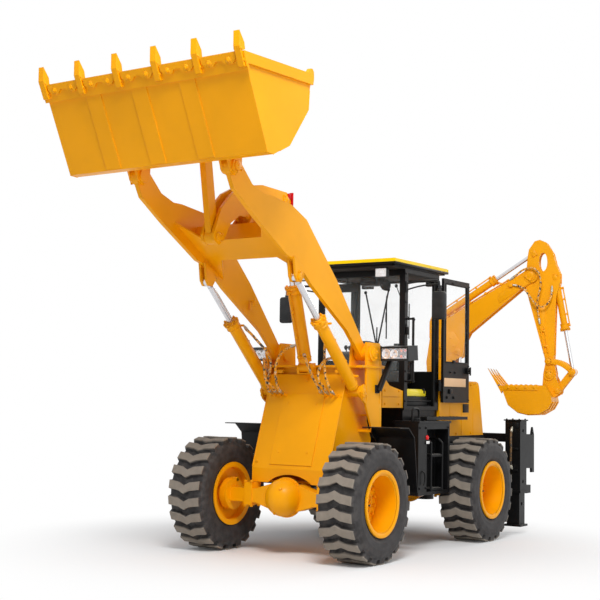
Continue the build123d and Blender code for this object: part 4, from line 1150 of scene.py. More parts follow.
@dataclass
class BucketFittings:
    """Tooth pins, edge bolts and weld seams of the loader bucket.

    Attributes:
        width: The bucket's outer width.
        teeth: How many teeth it has.
        bolt_offset: How far a bolt lies from the middle between two teeth.
        corners: The side plate's corners, from the heel round to the top.
    """

    width: float = 2.123
    teeth: int = 6
    bolt_offset: float = 0.0935
    corners: tuple[tuple[Flat, Flat], ...] = (
        ((1.925, 3.348), (1.84, 3.345)), ((1.755, 3.388), (1.622, 3.454)),
        ((1.622, 3.454), (1.357, 3.799)), ((1.357, 3.799), (1.346, 3.959)))

    def build(self) -> None:
        """Makes the two pieces."""
        floor = math.hypot(EDGE[0] - HEEL[0], EDGE[1] - HEEL[1])
        x, z = along(HEEL, EDGE, floor, -1)
        way = Vector((x - EDGE[0], 0, z - EDGE[1])).normalized()
        pitch = (self.width - 0.08) / (self.teeth - 1)
        places = [(number - (self.teeth - 1) / 2) * pitch for number in range(self.teeth)]
        bolts, pins = Form(), Form()
        for y in places:
            for distance in (-0.06, 0.03):
                pins.bar(along(HEEL, EDGE, floor + distance, -0.033), (y - 0.034, y + 0.034), 0.010, 12)
            for side in (-0.034, 0.034):
                pins.seam(along(HEEL, EDGE, floor - 0.11, -0.022), along(HEEL, EDGE, floor - 0.01, -0.022),
                          y + side)
        x, z = along(HEEL, EDGE, floor - 0.044, -0.0345)
        for first, last in zip(places, places[1:]):
            for offset in (-self.bolt_offset, self.bolt_offset):
                place = Vector((x, (first + last) / 2 + offset, z))
                bolts.button(place, way, (0.006, 0.020, 0.006, 0.026))
                bolts.bolt(place + way * 0.005, way, 0.014, 0.010)
        bolts.finish("edge_bolts", "bucket", Coat.YELLOW)
        for hand in HANDS:
            for first, last in self.corners:
                pins.seam(along(first, last, 0.0, -0.001), along(last, first, 0.0, 0.001),
                          hand * (self.width / 2 - 0.022))
        pins.finish("tooth_pins", "bucket", Coat.YELLOW)


@dataclass
class FrontFrameFittings:
    """Cover bolts, seams, hose unions, axle clamps and hinge caps.

    Attributes:
        cover_top: The top edge of the sloped cover in the side profile.
        cover_foot: Its foot.
        union_row: How far the hose unions lie below the top edge.
        unions: Where they lie across the machine.
    """

    cover_top: Flat = (-0.318, 1.69)
    cover_foot: Flat = (-0.018, 0.795)
    union_row: float = 0.215
    unions: tuple[float, ...] = (-0.33, -0.27, -0.21, 0.25, 0.31, 0.37)

    def on_cover(self, distance: float, y: float, proud: float = 0.0) -> Vector:
        """A point on the sloped cover, measured down from its top edge."""
        return beside(self.cover_top, self.cover_foot, distance, proud, y)

    def build(self) -> None:
        """Makes the pieces."""
        out = self.on_cover(0, 0, 1) - self.on_cover(0, 0, 0)
        cover = Form()
        for y, distance, proud in ((0.16, 0.30, 0.0045), (0.16, 0.78, 0.0045), (0.39, 0.06, 0.001),
                                   (0.39, 0.88, 0.001)):
            cover.bolts([self.on_cover(distance, hand * y, proud) for hand in HANDS], out, 0.012, 0.007)
        cover.bolt(self.on_cover(0.06, 0.0, 0.001), out, 0.012, 0.007)
        for y in (0.43, -0.43):
            cover.rod(self.on_cover(0.02, y), self.on_cover(0.93, y), 0.005, 8, 0)
        cover.sides((-0.345, -0.31), (0.30, 0.40), (1.70, 1.735), 0.004)
        cover.finish("cover_bolts", "front_half", Coat.YELLOW)
        rail = Form()
        for y in self.unions:
            foot = self.on_cover(self.union_row, y, 0.0)
            rail.rod(foot, foot + out * 0.030, 0.017, 6)
            rail.rod(foot + out * 0.028, foot + out * 0.052, 0.012, 14)
        rail.bolts([self.on_cover(self.union_row, y, 0.001) for y in (0.20, 0.42, -0.16, -0.38)], out, 0.010,
                   0.007)
        rail.finish("hose_unions", "front_half", Coat.YELLOW)
        self.axle("front_half", 0.0, 1.0, "front")
        self.axle("chassis", -2.346, -1.0, "rear")
        seams = Form()
        for hand in HANDS:
            for x in (-0.68, -0.43):
                seams.seam((x, 1.42), (x, 1.96), hand * 0.58)
            seams.seam((-0.86, 1.781), (-0.68, 1.781), hand * 0.57)
            seams.bolts([(x, hand * 0.54, 1.78) for x in (-0.80, -0.74)], (0, 0, 1))
            seams.bolts([(-0.47, hand * 0.58, z) for z in (1.84, 1.90, 1.96)], (0, hand, 0), 0.009, 0.006)
        seams.finish("tower_seams", "front_half", Coat.YELLOW)
        hinge = Form()
        for z in (0.672, 1.112):
            hinge.turned([(0.0, 0.014), (0.03, 0.014), (0.034, 0.008), (0.034, 0.0), (0.0, 0.0)],
                         (-1.173, 0, z), (0, 0, 1), 30)
            hinge.ring_of_bolts((-1.173, 0, z - 0.002), (0, 0, 1), 0.024, 6, 0.006, 0.016)
        hinge.finish("hinge_caps", "chassis", Coat.YELLOW)

    @staticmethod
    def axle(body: str, x: float, ahead: float, name: str) -> None:
        """Makes the clamps, plugs and brake pieces of one axle.

        Args:
            body: The body that it rides on.
            x: The axle's place.
            ahead: The side that the differential bulges to.
            name: Its name.
        """
        form = Form()
        for hand in HANDS:
            for spot in (x - 0.062, x + 0.062):
                for y in (hand * 0.375, hand * 0.445):
                    form.rod((spot, y, 0.44), (spot, y, 0.672), 0.011, 12, 0.001)
                    form.bolt((spot, y, 0.447), (0, 0, -1), 0.017, 0.014)
                    form.bolt((spot, y, 0.661), (0, 0, 1), 0.017, 0.014)
            form.ring_of_bolts((x, hand * 0.668, TYRE_RADIUS), (0, -hand, 0), 0.128, 10, 0.009, 0.009)
            form.bar((x - ahead * 0.05, 0.67), (hand * 0.62, hand * 0.70), 0.022, 16)
        form.ring_of_bolts((x + ahead * 0.032, 0, TYRE_RADIUS), (ahead, 0, 0), 0.172, 14, 0.009, 0.014)
        form.turned([(0.17, 0.0), (0.186, 0.003), (0.186, 0.016), (0.17, 0.018)],
                    (x + ahead * 0.02, 0, TYRE_RADIUS), (ahead, 0, 0), 48)
        ball = Vector((x + ahead * 0.07, 0, TYRE_RADIUS))
        for way, size, height in (((ahead * 0.80, 0.30, 0.52), 0.016, 0.012),
                                  ((ahead * 0.55, -0.2, -0.8), 0.014, 0.010)):
            slope = Vector(way).normalized()
            form.bolt(ball + slope * 0.172, slope, size, height)
        form.finish("axle_fittings_" + name, body, Coat.YELLOW)


@dataclass
class Headlamps:
    """Reflectors, bowls, turn lamps, bezel, glass and bracket of the two lamp boxes."""

    near: float = 0.652
    far: float = 0.928
    low: float = 1.844
    high: float = 1.950
    back: float = -0.598
    front: float = -0.581

    def build(self) -> None:
        """Makes both lamps."""
        for hand, side in zip(HANDS, ("left", "right")):
            self.lamp(hand, side)

    def lamp(self, hand: float, side: str) -> None:
        """Makes one lamp.

        Args:
            hand: 1 for the left lamp, -1 for the right.
            side: Its name.
        """
        near, far = hand * self.near, hand * self.far
        wide, high, face = (near, far), (self.low, self.high), (1, 0, 0)
        bright, bezel, glass, red, amber, bracket = (Form() for _ in range(6))
        bright.box((self.back - 0.004, self.back), wide, high, 0.001)
        for y, radius in ((0.70, 0.046), (0.785, 0.040)):
            bright.turned([(0.0, 0.002), (0.012, 0.003), (radius * 0.7, 0.010), (radius, 0.016),
                           (radius + 0.004, 0.014), (radius + 0.004, 0.0)],
                          (self.back, hand * y, 1.893), face)
            bright.turned([(0.0, 0.014), (0.007, 0.012), (0.010, 0.004), (0.010, 0.0)],
                          (self.back + 0.002, hand * y, 1.893), face, 20)
        for form, y, z in ((amber, 0.86, 1.925), (red, 0.902, 1.925), (amber, 0.86, 1.868)):
            form.turned([(0.0, 0.013), (0.010, 0.011), (0.016, 0.005), (0.017, 0.0), (0.0, 0.0)],
                        (self.back, hand * y, z), face, 22)
        bright.button((self.back, hand * 0.902, 1.868), face, (0.010, 0.010, 0.008, 0.014), 22)
        bezel.border((self.back, self.front), wide, high, 0.004, 0.0015)
        for share in (0.34, 0.66):
            y = near + (far - near) * share
            bezel.rod((self.back, y, self.low), (self.back, y, self.high), 0.003, 8, 0)
        glass.box((self.front - 0.004, self.front - 0.001), wide, high, 0.0008)
        bracket.slab([(-0.72, hand * 0.70, 1.87), (-0.68, hand * 0.70, 1.87), (-0.61, hand * 0.598, 1.54),
                      (-0.65, hand * 0.598, 1.54)], (0, 0.05, 0), 0.003)
        bracket.bolts([(x, hand * 0.592, z) for x in (-0.643, -0.607) for z in (1.535, 1.585)], (0, hand, 0),
                      0.009)
        for form, name, coat in ((bright, "reflector", Coat.REFLECTOR), (bezel, "bezel", Coat.PLASTIC),
                                 (glass, "glass", Coat.LENS), (red, "red", Coat.RED),
                                 (amber, "amber", Coat.ORANGE), (bracket, "bracket", Coat.BLACK)):
            form.finish(f"lamp_{name}_{side}", "front_half", coat)


@dataclass
class CabFittings:
    """What shows in and on the cab: lining, lamps, wipers, seat, wheel, levers, seals and roof rim."""

    front: float = -1.29
    rear: float = -2.05
    half: float = 0.518
    floor: float = 1.40
    top: float = 2.80
    roof_front: float = -1.0
    roof_rear: float = -2.18
    roof_half: float = 0.56

    def build(self) -> None:
        """Makes the pieces."""
        self.lining()
        self.work_lamps()
        self.wipers()
        self.seals()
        self.controls()
        self.cushions()
        self.roof()
        self.trim()

    def lining(self) -> None:
        """Makes the ceiling, the floor mat, the radio box, the mirror and the fan."""
        side = (-self.half + 0.045, self.half - 0.045)
        ceiling, mat, box, top = Form(), Form(), Form(), self.top
        ceiling.box((self.front - 0.045, self.rear + 0.045), side, (top - 0.058, top - 0.042), 0.006)
        ceiling.box((self.roof_front - 0.036, self.front - 0.002), (-0.52, 0.52), (top - 0.012, top - 0.002),
                    0.004)
        ceiling.finish("headliner", "chassis", Coat.HEADLINER)
        mat.box((self.front - 0.05, self.rear + 0.05), side, (self.floor + 0.0005, self.floor + 0.014), 0.005)
        mat.finish("floor_mat", "chassis", Coat.FLOOR_MAT)
        box.box((-1.36, -1.50), (-0.06, 0.16), (top - 0.16, top - 0.059), 0.02)
        box.box((-1.345, -1.362), (-0.03, 0.13), (top - 0.14, top - 0.085), 0.006)
        box.rod((-1.37, -0.22, top - 0.06), (-1.38, -0.22, top - 0.14), 0.007, 12)
        box.box((-1.375, -1.395), (-0.34, -0.10), (top - 0.22, top - 0.13), 0.010)
        box.rod((-1.355, 0.24, top - 0.06), (-1.355, 0.24, top - 0.13), 0.006, 12)
        box.turned([(0.0, 0.03), (0.02, 0.03), (0.055, 0.015), (0.06, 0.0), (0.055, -0.012), (0.0, -0.016)],
                   (-1.38, 0.24, top - 0.16), (1, 0, -0.2), 24)
        for number in range(9):
            angle = 2 * math.pi * number / 9
            rim = (-1.353, 0.24 + 0.056 * math.cos(angle), top - 0.163 + 0.056 * math.sin(angle))
            box.rod((-1.35, 0.24, top - 0.163), rim, 0.002, 6, 0)
        box.finish("cab_upper_fittings", "chassis", Coat.PLASTIC)

    @staticmethod
    def work_lamps() -> None:
        """Makes the two front lamps under the roof and the two at the back."""
        shell, bright, glass = Form(), Form(), Form()
        for x, y, ahead in ((-1.075, 0.37, 1.0), (-1.075, -0.55, 1.0), (-2.115, 0.40, -1.0),
                            (-2.115, -0.40, -1.0)):
            z, face = 2.735, x + ahead * 0.026
            for form, depth, half, low, high, thick, soft in (
                    (shell, x, 0.068, 0.052, 0.046, 0.05, 0.008),
                    (shell, x - ahead * 0.038, 0.048, 0.036, 0.030, 0.030, 0.010),
                    (bright, face, 0.058, 0.043, 0.037, 0.003, 0.001),
                    (glass, face + ahead * 0.010, 0.060, 0.045, 0.039, 0.003, 0.001)):
                form.box((depth - thick / 2, depth + thick / 2), (y - half, y + half),
                         (z - low, z + high), soft)
            shell.box((x - 0.012, x + 0.012), (y - 0.03, y + 0.03), (z + 0.044, z + 0.064), 0.002)
            for hand in HANDS:
                shell.bolt((x, y + hand * 0.069, z), (0, hand, 0), 0.008, 0.006)
            bright.turned([(0.0, 0.004), (0.006, 0.010), (0.008, 0.004), (0.022, 0.006), (0.030, 0.001),
                           (0.030, 0.0)], (face, y, z - 0.003), (ahead, 0, 0), 24)
        shell.finish("work_lamp_shells", "chassis", Coat.PLASTIC)
        bright.finish("work_lamp_reflectors", "chassis", Coat.WHITE)
        glass.finish("work_lamp_glass", "chassis", Coat.LENS)

    def wipers(self) -> None:
        """Makes the wipers on the windscreen and on the rear window."""
        arms, blades = Form(), Form()
        x, rear = self.front - 0.006, self.rear + 0.004
        for y, z in ((0.05, 2.56), (0.32, 2.58)):
            arms.rod((x, 0.19, 1.98), (x, y, z), 0.0055, 10)
            arms.rod((x + 0.004, 0.19 + 0.012, 1.98), (x + 0.004, y + 0.012, z), 0.003, 8, 0)
            arms.button((x - 0.004, y, z), (1, 0, 0), (0.012, 0.014, 0.010, 0.018))
        for y, low, high in ((0.30, 2.08, 2.52), (0.19, 1.76, 2.20)):
            middle = (low + high) / 2
            blades.box((x - 0.006, x + 0.003), (y - 0.006, y + 0.006), (low, high), 0.002)
            blades.box((x - 0.0005, x + 0.006), (y - 0.010, y + 0.010), (middle - 0.05, middle + 0.05), 0.002)
        arms.box((x - 0.012, x + 0.010), (0.16, 0.22), (1.955, 1.995), 0.006)
        arms.rod((rear, 0.0, 2.70), (rear, 0.16, 2.32), 0.0055, 10)
        blades.box((rear - 0.004, rear + 0.004), (0.154, 0.166), (2.12, 2.50), 0.002)
        arms.button((rear + 0.004, 0, 2.70), (-1, 0, 0), (0.012, 0.016, 0.010, 0.020))
        arms.finish("wiper_arms", "chassis", Coat.PLASTIC)
        blades.finish("wiper_blades", "chassis", Coat.GASKET)

    def seals(self) -> None:
        """Makes rubber seals round the fixed windows and the door opening."""
        form, across = Form(), (-self.half + 0.06, self.half - 0.06)
        for x, low in ((self.front - 0.008, 1.64), (self.rear + 0.008, 1.76)):
            form.border((x - 0.006, x + 0.006), across, (low, 2.73), 0.007)
        ahead, back, y = self.front - 0.06, self.rear + 0.09, self.half - 0.006
        form.border((-y - 0.008, -y + 0.008), (back, ahead), (1.86, 2.73), 0.009, side=True)
        for x in (back, ahead):
            form.box((x - 0.010, x + 0.010), (y - 0.010, y + 0.004), (self.floor, 2.75), 0.004)
        form.box((back, ahead), (y - 0.010, y + 0.004), (2.74, 2.76), 0.004)
        form.finish("window_seals", "chassis", Coat.GASKET)

    @staticmethod
    def controls() -> None:
        """Makes the dashboard, dials, levers, pedals and the steering wheel's grip."""
        dash, dials, grips, knobs = Form(), Form(), Form(), Form()
        dash.slab([(-1.335, 0, 1.74), (-1.335, 0, 1.93), (-1.40, 0, 1.965), (-1.50, 0, 1.87),
                   (-1.46, 0, 1.76)], (0, 0.66, 0), 0.02)
        dash.box((-1.34, -1.42), (-0.42, 0.42), (1.64, 1.75), 0.02)
        dash.box((-1.62, -1.90), (-0.44, -0.30), (1.42, 1.80), 0.02)
        dash.finish("dashboard", "chassis", Coat.PLASTIC)
        way, up = Vector((-0.69, 0, 0.72)).normalized(), (0, 0, 1)
        for y, radius in ((-0.24, 0.034), (-0.16, 0.028), (0.16, 0.028), (0.24, 0.034)):
            place = (-1.452, y, 1.922)
            grips.turned([(radius, 0.0), (radius + 0.006, 0.004), (radius + 0.004, 0.010), (radius, 0.010)],
                         place, way, 26)
            dials.button(place, way, (0.004, radius, 0.004, radius), 26)
        for x, y, z, lean, rise in ((-1.66, -0.36, 1.79, 0.06, 0.22), (-1.72, -0.36, 1.79, 0.04, 0.22),
                                    (-1.78, -0.36, 1.79, 0.02, 0.22), (-1.56, 0.19, 1.42, 0.05, 0.50)):
            foot, head = (x, y, z), (x + lean, y, z + rise)
            grips.rod(foot, head, 0.006, 12)
            knobs.turned([(0.0, -0.03), (0.008, -0.028), (0.020, -0.008), (0.022, 0.006), (0.014, 0.022),
                          (0.0, 0.026)], head, up, 20)
            grips.turned([(0.034, 0.0), (0.028, 0.018), (0.018, 0.022), (0.012, 0.05), (0.006, 0.056),
                          (0.0, 0.056)], foot, up, 20)
        for y in (-0.22, 0.20, 0.30):
            grips.block((-1.415, y, 1.55), (0.03, 0.07, 0.10), 0.006, (0, 25, 0))
            grips.rod((-1.37, y, 1.42), (-1.41, y, 1.54), 0.008, 10)
        for number in range(24):
            turn = 2 * math.pi * number / 24
            spot = Vector((0.185 * math.cos(turn), 0.185 * math.sin(turn), -0.011))
            spot.rotate(Euler((0, math.radians(-38), 0)))
            grips.turned([(0.0, 0.003), (0.006, 0.002), (0.008, 0.0), (0.0, -0.001)],
                         Vector((-1.53, 0, 1.94)) + spot, (0.0, 0.0, -1.0), 8)
        dials.finish("dial_faces", "chassis", Coat.DIAL)
        grips.finish("cab_controls", "chassis", Coat.GASKET)
        knobs.finish("lever_knobs", "chassis", Coat.PLASTIC)

    def cushions(self) -> None:
        """Makes the padded seat and back over the plain seat, and their stand."""
        made = [self.pad("seat_cushion", (-1.80, 0.0, 1.685), (0.36, 0.47, 0.13), 3, 0.022),
                self.pad("seat_back", (-1.94, 0.0, 1.865), (0.12, 0.43, 0.30), -4, 0.020)]
        base = Form()
        base.box((-1.66, -1.94), (-0.16, 0.16), (self.floor + 0.02, 1.60), 0.02)
        for z in (1.45, 1.50, 1.55):
            base.box((-1.645, -1.955), (-0.172, 0.172), (z - 0.010, z + 0.010), 0.009)
        base.box((-1.63, -1.97), (-0.20, 0.20), (1.59, 1.62), 0.008)
        for y in (-0.255, 0.255):
            base.rod((-1.93, y, 1.66), (-1.93, y, 1.86), 0.011, 12)
            base.slab([(-1.70, y, 1.86), (-1.95, y, 1.86), (-1.95, y, 1.895), (-1.70, y, 1.89)], (0, 0.05, 0),
                      0.014)
        made.append(base.finish("seat_stand", "chassis", Coat.PLASTIC))
        for piece in made:
            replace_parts(piece, "seat")

    @staticmethod
    def pad(name: str, middle: Point, size: Point, lean: float, crown: float) -> bpy.types.Object:
        """A crowned closed cushion with two sewn channels, as a subdivision surface.

        Args:
            name: The piece's name.
            middle: Its middle.
            size: Its size before it is crowned.
            lean: Its turn about the machine's y in degrees.
            crown: How far its faces swell.

        Returns:
            The piece.
        """
        part = bmesh.new()
        bmesh.ops.create_cube(part, size=1.0)
        bmesh.ops.subdivide_edges(part, edges=part.edges[:], cuts=7, use_grid_fill=True)
        channel, reach, pinch = 0.214, 0.05, 0.975
        for vert in part.verts:
            x, y, z = vert.co
            swell = (1 - (2 * x) ** 2 * 0.9) * (1 - (2 * y) ** 4 * 0.9) * (1 - (2 * z) ** 2 * 0.9)
            shape = Vector((x * size[0], y * size[1], z * size[2]))
            shape += shape.normalized() * crown * max(swell, 0.0)
            vert.co = shape * pinch if abs(abs(y) - channel) < reach else shape
        form = Form()
        form.keep(part, Matrix.Translation(middle) @ Euler((0, math.radians(lean), 0)).to_matrix().to_4x4())
        piece = form.finish(name, "chassis", Coat.SEAT, 60.0)
        modifier = piece.modifiers.new("soft", "SUBSURF")
        modifier.levels = modifier.render_levels = 2
        return piece

    def roof(self) -> None:
        """Makes the roof rim's seams and the dark drip edge under it."""
        rim, drip = Form(), Form()
        front, rear, half = self.roof_front, self.roof_rear, self.roof_half
        edge = half - 0.012
        for y in (edge, -edge):
            rim.seam((rear + 0.01, 2.866), (front - 0.01, 2.866), y)
        for x in (front - 0.012, rear + 0.012):
            rim.bar((x, 2.866), (-edge, edge), 0.005, 8, 0)
        # The rim's seams take the roof's painted-highlight yellow, a lit copy of the body yellow.
        rim.finish("roof_rim", "chassis", Coat.ROOF)
        drip.sides((rear - 0.0015, front + 0.0015), (edge, half + 0.0015), (2.8135, 2.836), 0.001)
        drip.sides((-2.152, -1.028), (0.50, 0.532), (2.799, 2.8145), 0.001)
        for x, reach, wide, high in ((front, 0.0015, half, (2.8135, 2.836)),
                                     (rear, 0.0015, half, (2.8135, 2.836)),
                                     (-1.045, 0.017, 0.532, (2.799, 2.8145)),
                                     (-2.135, 0.017, 0.532, (2.799, 2.8145))):
            drip.box((x - reach, x + reach), (-wide, wide), high, 0.001)
        drip.box((rear, front), (-half, half), (2.8128, 2.8152), 0.0005)
        drip.finish("roof_drip", "chassis", Coat.BLACK)

    def trim(self) -> None:
        """Makes the bright sill, the bolts and hinges on the posts and the cowl's trims."""
        sill, dark, cowl, neck, floor = Form(), Form(), Form(), Form(), self.floor
        sill.box((-1.37, -1.86), (0.30, 0.47), (floor + 0.10, floor + 0.165), 0.012)
        sill.box((-1.42, -1.80), (0.33, 0.46), (floor + 0.160, floor + 0.175), 0.008)
        sill.finish("sill_cover", "chassis", Coat.SILL)
        dark.box((-1.36, -1.88), (0.29, 0.475), (floor + 0.004, floor + 0.098), 0.008)
        dark.box((-1.80, -1.83), (0.40, 0.475), (floor + 0.13, floor + 0.182), 0.006)
        dark.rod((-1.36, 0.497, floor + 0.055), (-1.92, 0.497, floor + 0.055), 0.008, 12)
        for x in (-1.36, -1.92):
            dark.bar((x, floor + 0.055), (0.46, 0.500), 0.008, 12)
        dark.bolts([(-1.318, 0.613, z) for z in (1.65, 2.27)], (0, 1, 0), 0.008, 0.004)
        for hand in HANDS:
            dark.bolts([(x, hand * 0.519, z) for x in (-1.31, -2.02) for z in (1.45, 1.75, 2.45, 2.74)],
                       (0, hand, 0), 0.008, 0.005)
            cowl.bolts([(x, hand * 0.506, z) for x in (-0.92, -1.20) for z in (1.42, 1.55)],
                       (0, hand, 0), 0.010, 0.007)
            cowl.seam((-0.88, 1.489), (-1.23, 1.489), hand * 0.503, 0.003)
        for z in (2.20, 2.215):
            dark.button((-1.32, 0.519, z), (0, 1, 0), (0.012, 0.016, 0.010, 0.020))
        dark.box((-1.30, -1.34), (0.519, 0.545), (2.12, 2.20), 0.006)
        dark.finish("cab_trim", "chassis", Coat.BLACK)
        cowl.bolts([(-0.869, y, z) for y in (-0.3, 0.0, 0.3) for z in (1.42, 1.60)], (1, 0, 0), 0.010, 0.007)
        cowl.finish("cowl_bolts", "chassis", Coat.YELLOW)
        neck.rod((-1.165, 0.20, 1.70), (-1.165, 0.20, 1.78), 0.020, 18)
        neck.finish("filler_neck", "chassis", Coat.PLASTIC)


@dataclass
class Mirrors:
    """The two mirrors: rounded shells, glass that faces back, and bent tubes."""

    x: float = -1.27
    low: float = 2.262
    high: float = 2.542
    near: float = 0.842
    far: float = 0.988

    def build(self) -> None:
        """Makes both mirrors in place of the plain ones."""
        shell, glass = Form(), Form()
        half, inner = (self.far - self.near) / 2, (self.low + 0.02, self.high - 0.02)
        pane = half * 0.84
        ring = ((-1, inner[0]), (-0.8, self.low), (0.8, self.low), (1, inner[0]),
                (1, inner[1]), (0.8, self.high), (-0.8, self.high), (-1, inner[1]))
        for hand in HANDS:
            middle = hand * (self.near + self.far) / 2
            shell.slab([(self.x + 0.004, middle + share * half, z) for share, z in ring],
                       (0.058, 0, 0), 0.016)
            glass.box((self.x - 0.028, self.x - 0.025), (middle - pane, middle + pane), inner, 0.001)
            for route, radius in (
                    (((-1.318, 0.522, 2.64), (-1.312, 0.60, 2.652), (-1.28, 0.78, 2.655),
                      (-1.268, 0.905, 2.655), (-1.268, 0.915, 2.62), (-1.268, 0.915, 2.53)), 0.0115),
                    (((-1.318, 0.522, 2.575), (-1.31, 0.62, 2.60), (-1.285, 0.76, 2.613),
                      (-1.272, 0.84, 2.616), (-1.268, 0.905, 2.616)), 0.008)):
                shell.pipe([(x, hand * y, z) for x, y, z in route], radius, 4)
            shell.rod((-1.268, hand * 0.915, 2.535), (-1.268, hand * 0.915, 2.56), 0.018, 18)
        shell.sides((-1.335, -1.300), (0.518, 0.532), (2.55, 2.665), 0.004)
        shells = shell.finish("mirror_shells", "chassis", Coat.PLASTIC)
        faces = glass.finish("mirror_glass", "chassis", Coat.MIRROR)
        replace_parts(shells, "mirrors")
        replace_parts(faces, "mirrors")


@dataclass
class DoorFittings:
    """Seals, bare plate, latch, bolts and handle of the open door."""

    face: float = 0.582
    inner: float = 0.554
    front: float = -2.035
    rear: float = -2.660

    def build(self) -> None:
        """Makes the pieces."""
        seal, plate, trim = Form(), Form(), Form()
        face, inner, rear = self.face, self.inner, self.rear
        for y in (face - 0.002, inner + 0.002):
            seal.border((y - 0.006, y + 0.006), (rear + 0.025, self.front - 0.05), (1.87, 2.71), 0.008,
                        0.003, side=True)
        seal.finish("door_seals", "door", Coat.GASKET)
        plate.box((-2.055, -2.575), (face, face + 0.003), (1.612, 1.702), 0.001)
        plate.finish("door_plate", "door", Coat.PLATE)
        for x, z, size, height in ((-2.122, 1.496, 0.013, 0.010), (-2.282, 1.496, 0.013, 0.010),
                                   (-2.20, 1.764, 0.010, 0.009), (-2.31, 1.764, 0.010, 0.009),
                                   (rear + 0.012, 1.47, 0.007, 0.005), (rear + 0.012, 1.84, 0.007, 0.005),
                                   (rear + 0.012, 2.715, 0.007, 0.005), (-2.242, 2.718, 0.010, 0.010)):
            trim.bolt((x, face + 0.001, z), (0, 1, 0), size, height)
        for x, y, z, soft in (
                ((-2.165, -2.225), (face, face + 0.018), (1.535, 1.585), 0.006),
                ((-2.235, -2.285), (face, face + 0.022), (1.862, 1.895), 0.006),
                ((-2.10, -2.42), (inner - 0.016, inner), (1.55, 1.80), 0.010),
                ((rear - 0.004, rear + 0.075), (face, face + 0.024), (1.755, 1.825), 0.006),
                ((rear - 0.030, rear + 0.004), (inner + 0.006, face - 0.006), (1.755, 1.825), 0.004)):
            trim.box(x, y, z, soft)
        knob = rear + 0.058
        trim.bar((knob, 1.79), (face + 0.02, face + 0.05), 0.010, 14)
        trim.rod((knob, face + 0.044, 1.83), (knob, face + 0.044, 1.74), 0.009, 14)
        trim.bar((rear - 0.018, 1.79), (face - 0.010, face + 0.010), 0.010, 14)
        trim.pipe([(-2.12, inner - off, z) for off, z in
                   ((0.002, 1.98), (0.035, 1.98), (0.035, 2.10), (0.035, 2.30), (0.002, 2.30))], 0.009, 4)
        trim.finish("door_trim", "door", Coat.BLACK)


@dataclass
class HoodFittings:
    """Vents, latches, seams and the exhaust stack on the engine hood.

    Attributes:
        half: The hood's side, from the machine's middle plane.
        top: Its top.
        stack: Where the exhaust stack stands, x and y.
    """

    half: float = 0.53
    top: float = 1.68
    stack: Flat = (-2.62, -0.30)

    def build(self) -> None:
        """Makes the pieces."""
        dark, seams, half, top = Form(), Form(), self.half, self.top
        dark.sides((-2.615, -2.76), (half, half + 0.006), (1.335, 1.43), 0.002)
        for z in (1.352, 1.372, 1.392, 1.412):
            dark.sides((-2.625, -2.75), (half, half + 0.012), (z - 0.004, z + 0.004), 0.002)
        dark.sides((-2.10, -2.145), (half, half + 0.010), (1.12, 1.17), 0.004)
        for x in (-2.20, -2.70):
            dark.sides((x - 0.03, x + 0.03), (half, half + 0.012), (1.60, 1.64), 0.004)
        for x in (-2.30, -2.585, -2.88):
            seams.sides((x - 0.002, x + 0.002), (half - 0.001, half + 0.0025), (1.09, 1.67), 0.0005)
        seams.sides((-2.06, -2.96), (half - 0.001, half + 0.004), (1.655, 1.668), 0.001)
        for hand in HANDS:
            dark.bar((-2.12, 1.145), (hand * half, hand * (half + 0.018)), 0.010, 14)
            seams.bolts([(x, hand * (half + 0.0015), z) for x in (-2.08, -2.45, -2.82) for z in (1.11, 1.64)],
                        (0, hand, 0), 0.009, 0.006)
        for number in range(9):
            z = 1.22 + number * 0.038
            x = -3.151 + (z - 1.085) * (0.110 / 0.535)
            dark.block((x, 0, z), (0.010, 0.72, 0.020), 0.003, (0, 12, 0))
        seams.box((-2.45, -2.47), (-0.50, 0.50), (top, top + 0.003), 0.001)
        for low, high, radius, soft in ((0.0, 0.012, 0.075, 0.002), (0.01, 0.42, 0.036, 0.002),
                                        (0.06, 0.26, 0.055, 0.01)):
            dark.rod((*self.stack, top + low), (*self.stack, top + high), radius, 28, soft)
        dark.finish("hood_vents", "chassis", Coat.BLACK)
        seams.finish("hood_seams", "chassis", Coat.YELLOW)


